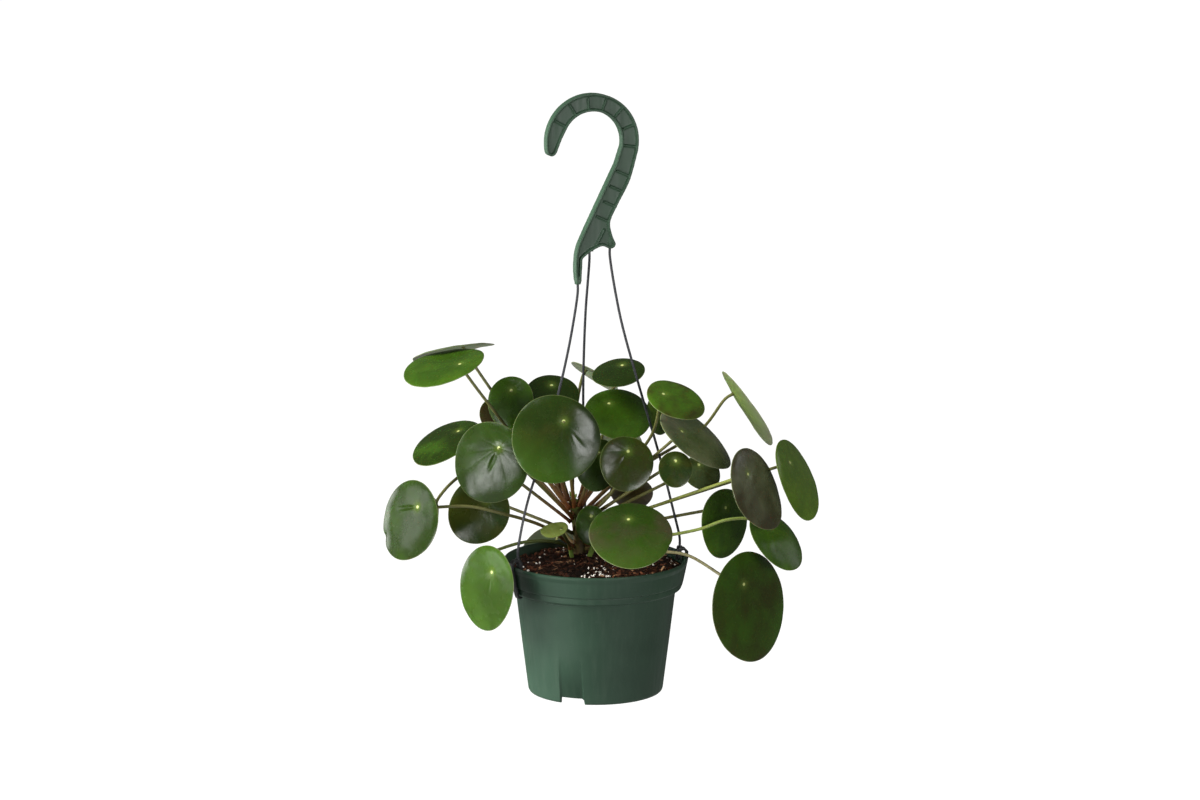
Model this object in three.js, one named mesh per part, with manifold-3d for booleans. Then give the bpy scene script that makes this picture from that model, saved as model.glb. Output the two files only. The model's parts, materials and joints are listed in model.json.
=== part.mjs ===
// A pilea (Pilea peperomioides) in a green plastic hanging pot: a hook, three wire strands that clip
// over the pot's rim, the pot, its soil, the plant's stem and its round peltate leaves.
// Millimetres, +Z up. Sizes are worked out with the pot's foot at height zero and its axis on Z;
// the finished group is then lowered so that the origin is where the hook bears on its rail.
import * as THREE from "three";
import { mergeVertices } from "three/addons/utils/BufferGeometryUtils.js";
import Module from "manifold-3d";

const wasm = await Module();
wasm.setup();

const clearance = 0.3; // between pieces that touch
const around = 42; // sides of the pot and the soil

// ---- driving dimensions ----
const pot = {
  footRadius: 59.8, footHeight: 6, wall: 1.6, bodyFoot: 60.9, bodyTop: 72.2,
  bandBottom: 93.6, bandRadius: 77.4, grooveHeight: 101.2, grooveRadius: 78.9,
  lipRadius: 82.5, height: 121,
};
const drain = { angles: [10, 130, 250], width: 22, slotWidth: 13, slotInner: 40, slotOuter: 53 };
const soil = { wallHeight: 113.5, mound: 5.5, moundReach: 34, lump: 0.5, rings: 7 };
const stem = {
  x: -14, y: 28, lean: -6, foot: 92, soilLine: 117, top: 170, radius: 6, topRadius: 4.2, sides: 12,
};
const shoots = [
  { from: [-13, 26, 102], to: [2, 10, 146], radius: 2.8 },
  { from: [-16, 26, 102], to: [-23, 11, 127], radius: 2.6 },
];
const blade = { thickness: 1.0, hub: 0.27, dome: 0.06, rings: 2, sides: 16 };
const petiole = { baseRadius: 1.5, tipRadius: 1.3, steps: 8, sides: 5, leadOut: 16, leadIn: 9 };
const hook = {
  x: -3.5, y: 0, turn: 18, centre: 497, outer: 43, inner: 27, depth: 9, webDepth: 3.2, flange: 2,
  ribWidth: 1.3, ribDepth: 7, boss: 2.9, socket: 5,
};
const strand = { radius: 1.15, bore: 1.75, sides: 8, steps: 20 };
const clip = {
  angles: { left: 207, back: 97, right: 11 }, width: 6.5, thickness: 2, top: 127.3, innerLeg: 116,
};

// Each leaf: the point where its petiole meets the blade, the way its upper side faces (degrees round Z,
// degrees up), how far its tip swings out of straight down, its length, its width over its length, and
// the height and side of the stem where the petiole grows. "via" bends a petiole clear of its neighbours.
const leaves = {
  leaf_01: { hub: [-121, -5, 299], face: [-132, 69], swing: -76, length: 77, ratio: 0.9, node: [162, 222] },
  leaf_02: { hub: [-120, 45, 307], face: [125, 76], swing: 0, length: 80, ratio: 0.92, node: [168, 140] },
  leaf_03: { hub: [-76, 28, 269], face: [-107, 20], swing: 0, length: 48, ratio: 0.9, node: [163, 178] },
  leaf_04: { hub: [-40, 60, 268], face: [-86, 56], swing: 0, length: 54, ratio: 0.92, node: [168, 202] },
  leaf_05: { hub: [-28, -58, 257], face: [-95, 12], swing: -25, length: 78, ratio: 1.0, node: [163, 265] },
  leaf_06: { hub: [-86, -32, 228], face: [-114, 8], swing: -32, length: 74, ratio: 0.95, node: [152, 232] },
  leaf_07: { hub: [-124, 27, 232], face: [-139, 67], swing: 0, length: 69, ratio: 0.92, node: [148, 195] },
  leaf_08: {
    hub: [-159, -20, 172], face: [-133, 14], swing: -36, length: 75, ratio: 0.92, node: [126, 218],
    via: [[-46, 15, 146], [-86, -8, 164], [-114, -13, 171]],
  },
  leaf_09: { hub: [-98, 12, 172], face: [-104, 10], swing: -35, length: 61, ratio: 0.93, node: [138, 205] },
  leaf_10: {
    hub: [-92, -58, 121], face: [-137, 8], swing: -25, length: 78, ratio: 0.92, node: [122, 180],
    via: [[-35, 19, 131], [-62, 12, 133], [-86, 0, 129], [-99, -30, 128]],
  },
  leaf_11: { hub: [-91, 34, 253], face: [-95, 22], swing: 0, length: 30, ratio: 0.92, node: [158, 158] },
  leaf_12: {
    hub: [24, 52, 288], face: [-111, 71], swing: 0, length: 52, ratio: 0.92, node: [169, 30],
    via: [[-2, 46, 215], [12, 62, 258]],
  },
  leaf_13: {
    hub: [-8, 74, 281], face: [32, 58], swing: 0, length: 50, ratio: 0.92, node: [169, 100],
    via: [[-20, 50, 225]],
  },
  leaf_14: { hub: [12, 40, 255], face: [-86, 57], swing: 35, length: 63, ratio: 0.94, node: [166, 345] },
  leaf_15: {
    hub: [29, -12, 221], face: [-87, 21], swing: -8, length: 50, ratio: 0.96, node: [150, 300],
    via: [[8, 6, 172], [19, 1, 188]],
  },
  leaf_16: {
    hub: [60, -38, 278], face: [-60, 58], swing: 50, length: 54, ratio: 0.93, node: [157, 338],
    via: [[24, 18, 196], [50, -4, 234]],
  },
  leaf_17: { hub: [58, 60, 250], face: [-43, 10], swing: 0, length: 38, ratio: 0.92, node: [163, 15] },
  leaf_18: { hub: [77, -16, 240], face: [-30, 52], swing: 50, length: 79, ratio: 0.92, node: [153, 328] },
  leaf_19: { hub: [71, -25.5, 215], face: [-86, 25], swing: 0, length: 33, ratio: 0.92, node: [147, 312] },
  leaf_20: { hub: [92.5, 2.5, 206], face: [-80, 40], swing: 17, length: 36, ratio: 0.93, node: [146, 336] },
  leaf_21: {
    hub: [125, 20, 268], face: [14, 28], swing: 0, length: 80, ratio: 0.92, cup: true, node: [156, 5],
    via: [[20, 39, 184], [56, 38, 206], [96, 32, 233]],
  },
  leaf_22: { hub: [174, -8, 210], face: [-23, 26], swing: 17, length: 77, ratio: 0.92, node: [141, 350] },
  leaf_23: { hub: [135, -45, 207], face: [-33, 23], swing: 30, length: 78, ratio: 0.92, node: [139.5, 324] },
  leaf_24: { hub: [117, 0, 167], face: [-48, 6], swing: -5, length: 63, ratio: 0.92, node: [136, 350] },
  leaf_25: {
    hub: [155, -20, 154], face: [-40, 45], swing: 0, length: 62, ratio: 0.92, node: [132, 332], leadIn: 4,
    via: [[50, -10, 142], [93, -30, 154], [116, -25, 161], [138, -21, 161]],
  },
  leaf_26: {
    hub: [132, -45, 107], face: [-45, 10], swing: 18, length: 100, ratio: 0.93, node: [124, 330],
    via: [[62, -2, 127], [84, -15, 126]],
  },
  leaf_27: {
    hub: [29, -58, 169], face: [-91, 60], swing: 8, length: 80, ratio: 0.92, node: [128, 335],
    via: [[4, 14, 130], [12, -4, 136], [22, -32, 148]],
  },
  leaf_28: { hub: [3, 10, 215], face: [-69, 8], swing: -8, length: 48, ratio: 0.88, node: [164, 305] },
  leaf_29: { hub: [-4, 6, 158], face: [-110, 15], swing: 0, length: 36, ratio: 0.8, shoot: 0 },
  leaf_30: { hub: [34, 29, 182], face: [85, 38], swing: 12, length: 43, ratio: 0.91, node: [149, 347] },
  leaf_31: { hub: [-31, 0, 147.5], face: [-128, 60], swing: -50, length: 25, ratio: 0.88, cup: true, shoot: 1 },
  leaf_32: {
    hub: [-152, 6, 166], face: [-142, 18], swing: 0, length: 42, ratio: 0.9, node: [155, 207],
    via: [[-60, 20, 195], [-98, 14, 206], [-126, 9, 191], [-142, 8, 173]],
  },
  leaf_33: {
    hub: [-42, 112, 110], face: [112, 12], swing: 0, length: 66, ratio: 0.92, node: [122, 100],
    via: [[-24, 60, 125], [-32, 88, 127]],
  },
  leaf_34: {
    hub: [30, 114, 104], face: [65, 10], swing: 10, length: 70, ratio: 0.92, node: [122, 60],
    via: [[8, 62, 125], [18, 92, 127]],
  },
  leaf_35: { hub: [-46, 88, 224], face: [118, 32], swing: 0, length: 52, ratio: 0.94, node: [160, 120] },
  leaf_36: { hub: [22, 84, 218], face: [70, 30], swing: -15, length: 42, ratio: 0.92, node: [158, 50] },
  leaf_37: { hub: [40, 98, 140], face: [55, 25], swing: 0, length: 54, ratio: 0.93, node: [134, 45] },
};

// ---- materials ----
const plastic = (color, roughness) => new THREE.MeshStandardMaterial({ color, roughness, metalness: 0 });
const greenPlastic = plastic(0x47634f, 0.45);
const blackPlastic = plastic(0x2b2b2d, 0.4);
const earth = plastic(0x38241a, 0.95);
const bark = plastic(0x5d5338, 0.75);
const foliage = plastic(0x3c5c1e, 0.38);

// ---- helpers ----
const radians = THREE.MathUtils.degToRad;
const mix = THREE.MathUtils.lerp;
const polar = (radius, angle, z) =>
  new THREE.Vector3(radius * Math.cos(radians(angle)), radius * Math.sin(radians(angle)), z);

// a geometry as a solid for joining and cutting
function solid(geometry) {
  const plain = geometry.clone();
  plain.deleteAttribute("normal");
  plain.deleteAttribute("uv");
  const merged = mergeVertices(plain, 1e-4);
  const vertProperties = new Float32Array(merged.attributes.position.array);
  const triVerts = new Uint32Array(merged.index.array);
  return new wasm.Manifold(new wasm.Mesh({ numProp: 3, vertProperties, triVerts }));
}

// a solid as a geometry again
function geometryOf(body) {
  const mesh = body.getMesh();
  const geometry = new THREE.BufferGeometry();
  geometry.setAttribute("position", new THREE.BufferAttribute(new Float32Array(mesh.vertProperties), 3));
  geometry.setIndex(new THREE.BufferAttribute(new Uint32Array(mesh.triVerts), 1));
  geometry.computeVertexNormals();
  return geometry;
}

// a lathe about Z from [radius, height] pairs
function turned(profile, sides = around) {
  const points = profile.map(([r, z]) => new THREE.Vector2(r, z));
  return new THREE.LatheGeometry(points, sides).rotateX(Math.PI / 2);
}

// a flat shape standing in the plane of X and Z, its thickness centred on Y
function plate(shape, thickness, curveSegments = 20) {
  const options = { depth: thickness, bevelEnabled: false, curveSegments };
  return new THREE.ExtrudeGeometry(shape, options).translate(0, 0, -thickness / 2).rotateX(Math.PI / 2);
}

// a round bar of even section along a curve
function wire(curve, radius, sides, steps) {
  const section = new THREE.Shape();
  for (let i = 0; i < sides; i++) {
    const angle = (2 * Math.PI * i) / sides;
    const point = [radius * Math.cos(angle), radius * Math.sin(angle)];
    if (i === 0) section.moveTo(...point);
    else section.lineTo(...point);
  }
  return new THREE.ExtrudeGeometry(section, { steps, extrudePath: curve, bevelEnabled: false });
}

// a lathe bent along a curve, so that its radius can change from end to end
function taperedBar(curve, radiusAt, sides, steps) {
  const profile = [new THREE.Vector2(0, 0)];
  for (let i = 0; i <= steps; i++) profile.push(new THREE.Vector2(radiusAt(i / steps), i));
  profile.push(new THREE.Vector2(0, steps));
  const bar = new THREE.LatheGeometry(profile, sides);
  const { normals, binormals } = curve.computeFrenetFrames(steps);
  const places = curve.getSpacedPoints(steps);
  const position = bar.attributes.position;
  for (let i = 0; i < position.count; i++) {
    const row = Math.round(position.getY(i));
    const point = places[row].clone();
    point.addScaledVector(normals[row], position.getX(i)).addScaledVector(binormals[row], -position.getZ(i));
    position.setXYZ(i, point.x, point.y, point.z);
  }
  return bar;
}

const group = new THREE.Group();
function add(name, geometry, material) {
  const mesh = new THREE.Mesh(geometry, material);
  mesh.name = name;
  group.add(mesh);
  return mesh;
}

// ---- pot: a turned shell with a raised floor, a banded rim and three drain notches ----
const floorTop = pot.footHeight + pot.wall;
const bodyRadius = (z) => mix(pot.bodyFoot, pot.bodyTop, z / pot.bandBottom);

// the inside of the wall, from the lip down to the floor
const innerProfile = [
  [pot.lipRadius - 1.7, pot.height],
  [pot.lipRadius - 3.1, pot.height - 6],
  [pot.bandRadius - pot.wall - 0.4, pot.bandBottom + 3.2],
  [bodyRadius(pot.bandBottom) - pot.wall, pot.bandBottom + 1.2],
  [bodyRadius(floorTop + 3) - pot.wall, floorTop + 3],
  [bodyRadius(floorTop) - pot.wall - 2, floorTop],
];

function potBody() {
  const { footRadius, footHeight, bodyFoot, bodyTop, bandBottom, bandRadius } = pot;
  const { grooveHeight, grooveRadius, lipRadius, height } = pot;
  const ringWidth = 2.6;
  const profile = [
    [0, footHeight], [bodyFoot - ringWidth, footHeight], [footRadius - ringWidth, 0], [footRadius, 0],
    [bodyFoot, 2], [bodyTop, bandBottom], [bodyTop + 1.6, bandBottom], [bandRadius, bandBottom + 1.8],
    [grooveRadius - 0.6, grooveHeight - 0.3], [grooveRadius, grooveHeight + 0.3],
    [lipRadius - 1.4, height - 6], [lipRadius, height - 2.2], [lipRadius, height - 0.6],
    [lipRadius - 0.5, height], ...innerProfile, [0, floorTop],
  ];
  let body = solid(turned(profile));
  for (const angle of drain.angles) {
    const notch = new THREE.BoxGeometry(24, drain.width, 2 * footHeight).translate(footRadius, 0, 0);
    const slotLength = drain.slotOuter - drain.slotInner;
    const slot = new THREE.BoxGeometry(slotLength, drain.slotWidth, 12);
    slot.translate(drain.slotInner + slotLength / 2, 0, footHeight);
    body = body.subtract(solid(notch.rotateZ(radians(angle)))).subtract(solid(slot.rotateZ(radians(angle))));
  }
  return geometryOf(body);
}

// ---- soil: fills the pot, a little heaped round the stem, with a plain hole for each stem ----
function soilHeight(x, y) {
  const { wallHeight, mound, moundReach, lump } = soil;
  const away = Math.hypot(x - stem.x, y - stem.y) / moundReach;
  const lumps = Math.sin(x / 6 + 1.3) * Math.cos(y / 7.5) + 0.6 * Math.sin((x + 2 * y) / 9);
  return wallHeight + mound * Math.exp(-away * away) + lump * lumps;
}

function soilBody() {
  const { wallHeight, rings } = soil;
  const sides = innerProfile.slice(2).reverse().map(([r, z]) => [r - 1.5 * clearance, z + 1.5 * clearance]);
  const edge = mix(innerProfile[2][0], innerProfile[1][0], 0.75) - 2 * clearance;
  const profile = [[0, floorTop + 1.5 * clearance], ...sides];
  for (let ring = rings; ring >= 0; ring--) profile.push([(edge * ring) / rings, wallHeight]);
  const body = turned(profile);
  const position = body.attributes.position;
  for (let i = 0; i < position.count; i++) {
    if (position.getZ(i) < wallHeight - 0.01) continue;
    position.setZ(i, soilHeight(position.getX(i), position.getY(i)));
  }
  let earthBody = solid(body).subtract(solid(trunk(clearance).translate(0, 0, -clearance)));
  for (const shoot of shoots) earthBody = earthBody.subtract(solid(shootBar(shoot, clearance)));
  return geometryOf(earthBody);
}

// ---- stem: an upright trunk and two young shoots that grow from its foot ----
function trunkCurve() {
  const { x, y, lean, foot, soilLine, top } = stem;
  return new THREE.CatmullRomCurve3([
    new THREE.Vector3(x + 2, y, foot), new THREE.Vector3(x, y, soilLine),
    new THREE.Vector3(x + 0.3 * lean, y, mix(soilLine, top, 0.5)), new THREE.Vector3(x + lean, y, top),
  ]);
}

function trunkRadius(height) {
  const share = (height - stem.soilLine) / (stem.top - stem.soilLine);
  return mix(stem.radius, stem.topRadius, Math.max(0, share));
}


function trunk(extra = 0) {
  const steps = 14;
  const reach = stem.top - stem.foot;
  return taperedBar(trunkCurve(), (t) => trunkRadius(stem.foot + t * reach) + extra, stem.sides, steps);
}

function shootCurve({ from, to }) {
  const [across, back, up] = from.map((value, i) => mix(value, to[i], i < 2 ? 0.7 : 0.45));
  const bend = new THREE.Vector3(across, back, up);
  return new THREE.QuadraticBezierCurve3(new THREE.Vector3(...from), bend, new THREE.Vector3(...to));
}

function shootBar(shoot, extra = 0) {
  return taperedBar(shootCurve(shoot), (t) => shoot.radius * mix(1, 0.65, t) + extra, 8, 6);
}

function stemBody() {
  let body = solid(trunk());
  for (const shoot of shoots) body = body.add(solid(shootBar(shoot)));
  return geometryOf(body);
}

// where a petiole starts, a clearance off the trunk's bark, and the way it sets out towards its next point
function trunkNode([height, angle], next, bendsEarly) {
  const centre = trunkCurve().getPointAt((height - stem.foot) / (stem.top - stem.foot));
  const out = polar(1, angle, 0);
  const bark = centre.addScaledVector(out, trunkRadius(height));
  const way = next.clone().sub(bark).normalize();
  const rise = Math.min(1.2, Math.max(0.15, way.z / 0.7));
  const heading = bendsEarly ? way : out.clone().setZ(rise).normalize();
  const tilted = petiole.baseRadius * Math.sqrt(1 - heading.dot(out) ** 2);
  return { start: bark.addScaledVector(out, clearance + tilted), heading };
}

function shootNode(index) {
  const curve = shootCurve(shoots[index]);
  const heading = curve.getTangentAt(1);
  return { start: curve.getPointAt(1).addScaledVector(heading, 2 * clearance), heading };
}

// ---- leaves: a domed round blade on a petiole that joins it off centre, underneath ----
function leafAxes({ face, swing }) {
  const [azimuth, elevation] = face.map(radians);
  const normal = polar(Math.cos(elevation), face[0], Math.sin(elevation));
  const downhill = polar(Math.sin(elevation), face[0], -Math.cos(elevation));
  const sideways = new THREE.Vector3(-Math.sin(azimuth), Math.cos(azimuth), 0);
  const turn = radians(swing);
  const tip = downhill.multiplyScalar(Math.cos(turn)).addScaledVector(sideways, Math.sin(turn));
  return { normal, tip, side: normal.clone().cross(tip) };
}

function bladeSurface({ length, ratio, cup }, angle, reach) {
  const along = length * (0.5 - blade.hub) + 0.5 * length * Math.cos(angle);
  const across = 0.5 * length * ratio * Math.sin(angle) * (1 - 0.06 * Math.cos(angle));
  const x = along * reach;
  const y = across * reach;
  const fromHub = Math.hypot(x, y) / (0.5 * length);
  const rise = (cup ? 1.9 : -1) * blade.dome * 0.5 * length * fromHub * fromHub;
  return [x, y, rise];
}

function bladeBody(leaf) {
  const { rings, sides, thickness } = blade;
  const { normal, tip, side } = leafAxes(leaf);
  const hub = new THREE.Vector3(...leaf.hub);
  const points = [];
  const triangles = [];
  for (const lift of [0.5, -0.5]) {
    const first = points.length;
    points.push(hub.clone().addScaledVector(normal, lift * thickness));
    for (let ring = 1; ring <= rings; ring++) {
      for (let i = 0; i < sides; i++) {
        const [x, y, rise] = bladeSurface(leaf, (2 * Math.PI * i) / sides, ring / rings);
        const point = hub.clone().addScaledVector(tip, x).addScaledVector(side, y);
        points.push(point.addScaledVector(normal, rise + lift * thickness));
      }
    }
    for (let i = 0; i < sides; i++) {
      const next = (i + 1) % sides;
      const faces = [[first, first + 1 + i, first + 1 + next]];
      for (let ring = 0; ring < rings - 1; ring++) {
        const near = first + 1 + ring * sides;
        const far = near + sides;
        faces.push([near + i, far + i, far + next], [near + i, far + next, near + next]);
      }
      for (const [a, b, c] of faces) triangles.push(...(lift > 0 ? [a, b, c] : [a, c, b]));
    }
  }
  const topRim = 1 + (rings - 1) * sides;
  const bottomRim = topRim + 1 + rings * sides;
  for (let i = 0; i < sides; i++) {
    const next = (i + 1) % sides;
    triangles.push(topRim + i, bottomRim + i, bottomRim + next, topRim + i, bottomRim + next, topRim + next);
  }
  const geometry = new THREE.BufferGeometry().setFromPoints(points);
  geometry.setIndex(triangles);
  return geometry;
}

function petioleCurve(leaf) {
  const end = new THREE.Vector3(...leaf.hub);
  const via = (leaf.via ?? []).map((point) => new THREE.Vector3(...point));
  const onTrunk = () => trunkNode(leaf.node, via[0] ?? end, via.length > 0);
  const { start, heading } = leaf.node ? onTrunk() : shootNode(leaf.shoot);
  const last = end.clone().addScaledVector(leafAxes(leaf).normal, -(leaf.leadIn ?? petiole.leadIn));
  if (leaf.via) return new THREE.CatmullRomCurve3([start, ...via, last, end]);
  const leadOut = Math.min(petiole.leadOut, 0.3 * start.distanceTo(end));
  return new THREE.CubicBezierCurve3(start, start.clone().addScaledVector(heading, leadOut), last, end);
}

function leafBody(leaf) {
  const { baseRadius, tipRadius, steps, sides } = petiole;
  const radiusAt = (t) => mix(baseRadius, tipRadius, Math.min(1, 1.5 * t));
  const bar = taperedBar(petioleCurve(leaf), radiusAt, sides, steps);
  return geometryOf(solid(bladeBody(leaf)).add(solid(bar)));
}

// ---- hook: a flat crook of channel section that spreads into three lobes ----
// its own plane: [across, height] from the crook's centre
function hookOutline() {
  const { outer, inner } = hook;
  const outline = new THREE.Shape();
  outline.absarc(0, 0, outer, radians(188), radians(-14), true);
  const points = (list) => list.map(([x, z]) => new THREE.Vector2(x, z));
  outline.splineThru(points([[34.5, -35], [24, -55], [16.4, -71], [18, -83], [21.5, -91]]));
  outline.quadraticCurveTo(21, -96, 15.5, -95.5);
  outline.splineThru(points([[9, -93], [2, -95.5], [-4, -99], [-9.6, -103.5]]));
  outline.lineTo(-10.6, -124);
  outline.quadraticCurveTo(-13, -129, -15.2, -124);
  outline.splineThru(points([[-16.2, -112], [-14.6, -96], [-8.6, -81], [10.6, -42], [21.5, -20]]));
  outline.absarc(0, 0, inner, radians(-10), radians(150), false);
  outline.splineThru(points([[-28.5, 3.5], [-32.4, -6]]));
  outline.quadraticCurveTo(-34, -11, -37.5, -11.5);
  outline.quadraticCurveTo(-42, -11, -42.6, -6);
  return outline;
}

// the outline's points moved in by an even distance
function movedIn(points, distance) {
  const count = points.length;
  return points.map((point, i) => {
    const before = points[(i + count - 1) % count];
    const after = points[(i + 1) % count];
    const along = after.clone().sub(before).normalize();
    return new THREE.Vector2(point.x + along.y * distance, point.y - along.x * distance);
  });
}

// evenly spaced points round a shape, without those on its straight stretches
function evenPoints(shape, count) {
  const points = shape.getSpacedPoints(count);
  points.pop();
  return points.filter((point, i) => {
    const before = point.clone().sub(points.at(i - 1));
    const after = points[(i + 1) % points.length].clone().sub(point);
    return Math.abs(before.cross(after)) > 0.002 * before.length() * after.length();
  });
}

function hookRibs() {
  const { outer, inner, ribWidth, ribDepth } = hook;
  const ribs = [];
  for (const angle of [-8, 20, 46, 71, 96, 122, 150]) {
    const rib = new THREE.BoxGeometry(outer - inner - 1, ribDepth, ribWidth);
    rib.translate((outer + inner) / 2, 0, 0);
    ribs.push(rib.rotateY(-radians(angle)));
  }
  const tilt = 25; // the shank's lean
  for (const [x, z] of [[28.5, -29], [22.5, -42.5], [16.5, -56], [10, -69]]) {
    ribs.push(new THREE.BoxGeometry(13.5, ribDepth, ribWidth).rotateY(radians(-tilt)).translate(x, 0, z));
  }
  const brace = new THREE.BoxGeometry(2, ribDepth - 1, 19).rotateY(radians(28)).translate(6.8, 0, -86.5);
  return [...ribs, brace];
}

// where each strand enters the hook: across, back, height of the socket's mouth, in the hook's frame
const hookSockets = { left: [-12.9, 0, -126.6], back: [0.6, 8, -98.5], right: [17, 0, -95] };

function hookBody() {
  const rim = evenPoints(hookOutline(), 110);
  const recess = solid(plate(new THREE.Shape(movedIn(rim, hook.flange)), 2 * hook.depth));
  const web = solid(plate(new THREE.Shape(movedIn(rim, hook.flange / 2)), hook.webDepth));
  let body = solid(plate(new THREE.Shape(rim), hook.depth)).subtract(recess).add(web);
  for (const rib of hookRibs()) body = body.add(solid(rib));
  const wingEdge = [[0, -72], [0, -98], [9, -98], [9, -93], [3, -76]];
  const wing = new THREE.Shape(wingEdge.map(([y, z]) => new THREE.Vector2(y, z)));
  body = body.add(solid(plate(wing, 2.4).rotateZ(Math.PI / 2).translate(hookSockets.back[0], 0, 0)));
  for (const [x, y, z] of Object.values(hookSockets)) {
    const boss = turned([[0, 0], [hook.boss, 0], [hook.boss, 7], [hook.boss - 1.2, 9.5], [0, 9.5]], 12);
    body = body.add(solid(boss.translate(x, y, z)));
  }
  for (const [x, y, z] of Object.values(hookSockets)) {
    const bore = new THREE.CylinderGeometry(strand.bore, strand.bore, 2 * hook.socket, 8);
    body = body.subtract(solid(bore.rotateX(Math.PI / 2).translate(x, y, z)));
  }
  return geometryOf(body);
}

// a point of the hook's frame in the pot's frame
function hookPoint([x, y, z]) {
  const point = new THREE.Vector3(x, y, z).applyAxisAngle(new THREE.Vector3(0, 0, 1), radians(hook.turn));
  return point.add(new THREE.Vector3(hook.x, hook.y, hook.centre));
}

// ---- rim clips: an arch over the lip, with a leg inside and a longer leg that hooks under the band ----
const clipSocket = { radius: 77.4, mouth: clip.top + 1.4, depth: 2.6, boss: 2.6 };

function clipBody() {
  const { thickness, top, innerLeg, width } = clip;
  const { lipRadius, bandRadius, bandBottom, height, grooveHeight, grooveRadius } = pot;
  const gap = 0.4;
  const outside = [
    [lipRadius + gap, height + 1.5], [lipRadius + gap, height - 3], [grooveRadius + gap + 0.1, grooveHeight],
    [bandRadius + gap + 0.1, bandBottom + 1.2], [bandRadius - 0.8, bandBottom - gap],
    [bandRadius - 3, bandBottom - gap], [bandRadius - 3, bandBottom - gap - 1.4],
    [bandRadius + 1.2, bandBottom - gap - 1.4], [bandRadius + gap + thickness, bandBottom + 1.2],
    [grooveRadius + gap + thickness, grooveHeight], [lipRadius + gap + thickness, height - 3],
    [lipRadius + gap + thickness, height + 3], [lipRadius - 0.6, top], [lipRadius - 6.4, top],
    [lipRadius - 8.4, top - 3], [lipRadius - 8.4, innerLeg], [lipRadius - 6.4, innerLeg],
    [lipRadius - 4.6, height - 3], [lipRadius - 4.4, height + 2.8], [lipRadius - 3.2, top - 2.4],
    [lipRadius - 1.4, top - 2.4],
  ];
  const shape = new THREE.Shape(outside.map(([r, z]) => new THREE.Vector2(r, z)));
  const { radius, mouth, depth, boss } = clipSocket;
  const collar = turned([[0, 0], [boss + 0.5, 0], [boss, mouth - top + 2], [0, mouth - top + 2]], 12);
  const bore = new THREE.CylinderGeometry(strand.bore, strand.bore, 2 * depth, 8);
  const body = solid(plate(shape, width)).add(solid(collar.translate(radius, 0, top - 2)));
  return geometryOf(body.subtract(solid(bore.rotateX(Math.PI / 2).translate(radius, 0, mouth))));
}

// ---- strands: bowed a little outwards, upright where they enter the hook and the clips ----
const strandBends = {
  left: [[-23, -6.5, 318], [-35, -12, 265], [-49, -18, 215], [-62, -27, 172]],
  back: [[-9, 22, 340], [-11, 37, 280], [-11, 54, 220], [-10, 70, 168]],
  right: [[22, 6, 340], [38, 8, 280], [56, 7.5, 218], [69.5, 7.2, 165]],
};

function strandBody(side) {
  const [x, y, z] = hookSockets[side];
  const top = hookPoint([x, y, z + hook.socket - clearance]);
  const mouth = [-1, -7].map((drop) => hookPoint([x, y, z + drop]));
  const { radius, depth } = clipSocket;
  const bottom = polar(radius, clip.angles[side], clipSocket.mouth - depth + clearance);
  const entry = [7, 1].map((rise) => polar(radius, clip.angles[side], clipSocket.mouth + rise));
  const bends = strandBends[side].map((point) => new THREE.Vector3(...point));
  const curve = new THREE.CatmullRomCurve3([top, ...mouth, ...bends, ...entry, bottom], false, "centripetal");
  return wire(curve, strand.radius, strand.sides, strand.steps);
}

// ---- assembly ----
add("pot", potBody(), greenPlastic);
add("soil", soilBody(), earth);
add("stem", stemBody(), bark);
for (const [name, leaf] of Object.entries(leaves)) add(name, leafBody(leaf), foliage);

const hanger = add("hook", hookBody(), greenPlastic);
hanger.rotation.z = radians(hook.turn);
hanger.position.set(hook.x, hook.y, hook.centre);

for (const [side, angle] of Object.entries(clip.angles)) {
  add(`strand_${side}`, strandBody(side), blackPlastic);
  add(`clip_${side}`, clipBody(), blackPlastic).rotation.z = radians(angle);
}

// the origin is where the crook's inner crown bears on a rail
group.position.set(-hook.x, -hook.y, -(hook.centre + hook.inner));

export default group;
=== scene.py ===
import json
import math

import bmesh
import bpy
import numpy as np
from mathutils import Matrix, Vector, noise

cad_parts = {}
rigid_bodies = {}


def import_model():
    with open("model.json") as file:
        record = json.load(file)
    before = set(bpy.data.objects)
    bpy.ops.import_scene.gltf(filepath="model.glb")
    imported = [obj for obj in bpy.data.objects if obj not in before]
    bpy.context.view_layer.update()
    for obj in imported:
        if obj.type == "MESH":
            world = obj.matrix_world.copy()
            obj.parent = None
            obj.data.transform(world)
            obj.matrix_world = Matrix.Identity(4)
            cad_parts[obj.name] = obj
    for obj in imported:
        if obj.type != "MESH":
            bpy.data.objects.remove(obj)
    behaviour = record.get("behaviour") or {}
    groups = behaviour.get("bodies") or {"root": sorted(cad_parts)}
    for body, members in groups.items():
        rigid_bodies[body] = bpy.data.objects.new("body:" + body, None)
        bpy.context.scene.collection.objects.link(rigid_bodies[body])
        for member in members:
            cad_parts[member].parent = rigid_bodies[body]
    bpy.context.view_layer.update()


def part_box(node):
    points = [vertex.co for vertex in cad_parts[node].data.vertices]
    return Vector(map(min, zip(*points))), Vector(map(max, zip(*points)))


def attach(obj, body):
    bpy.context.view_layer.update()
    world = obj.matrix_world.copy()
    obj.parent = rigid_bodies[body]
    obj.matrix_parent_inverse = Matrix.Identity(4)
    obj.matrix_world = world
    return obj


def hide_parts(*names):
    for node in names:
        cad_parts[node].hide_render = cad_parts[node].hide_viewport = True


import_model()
mm = 0.001

# Places below are in millimetres, from the middle of the pot's foot: +Z up, +X right, -Y towards the room.
potLow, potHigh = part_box("pot")
potFoot = np.array([(potLow.x + potHigh.x) / 2, (potLow.y + potHigh.y) / 2, potLow.z])


def toRow(points):
    return np.asarray(points, float) * mm + potFoot


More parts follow.
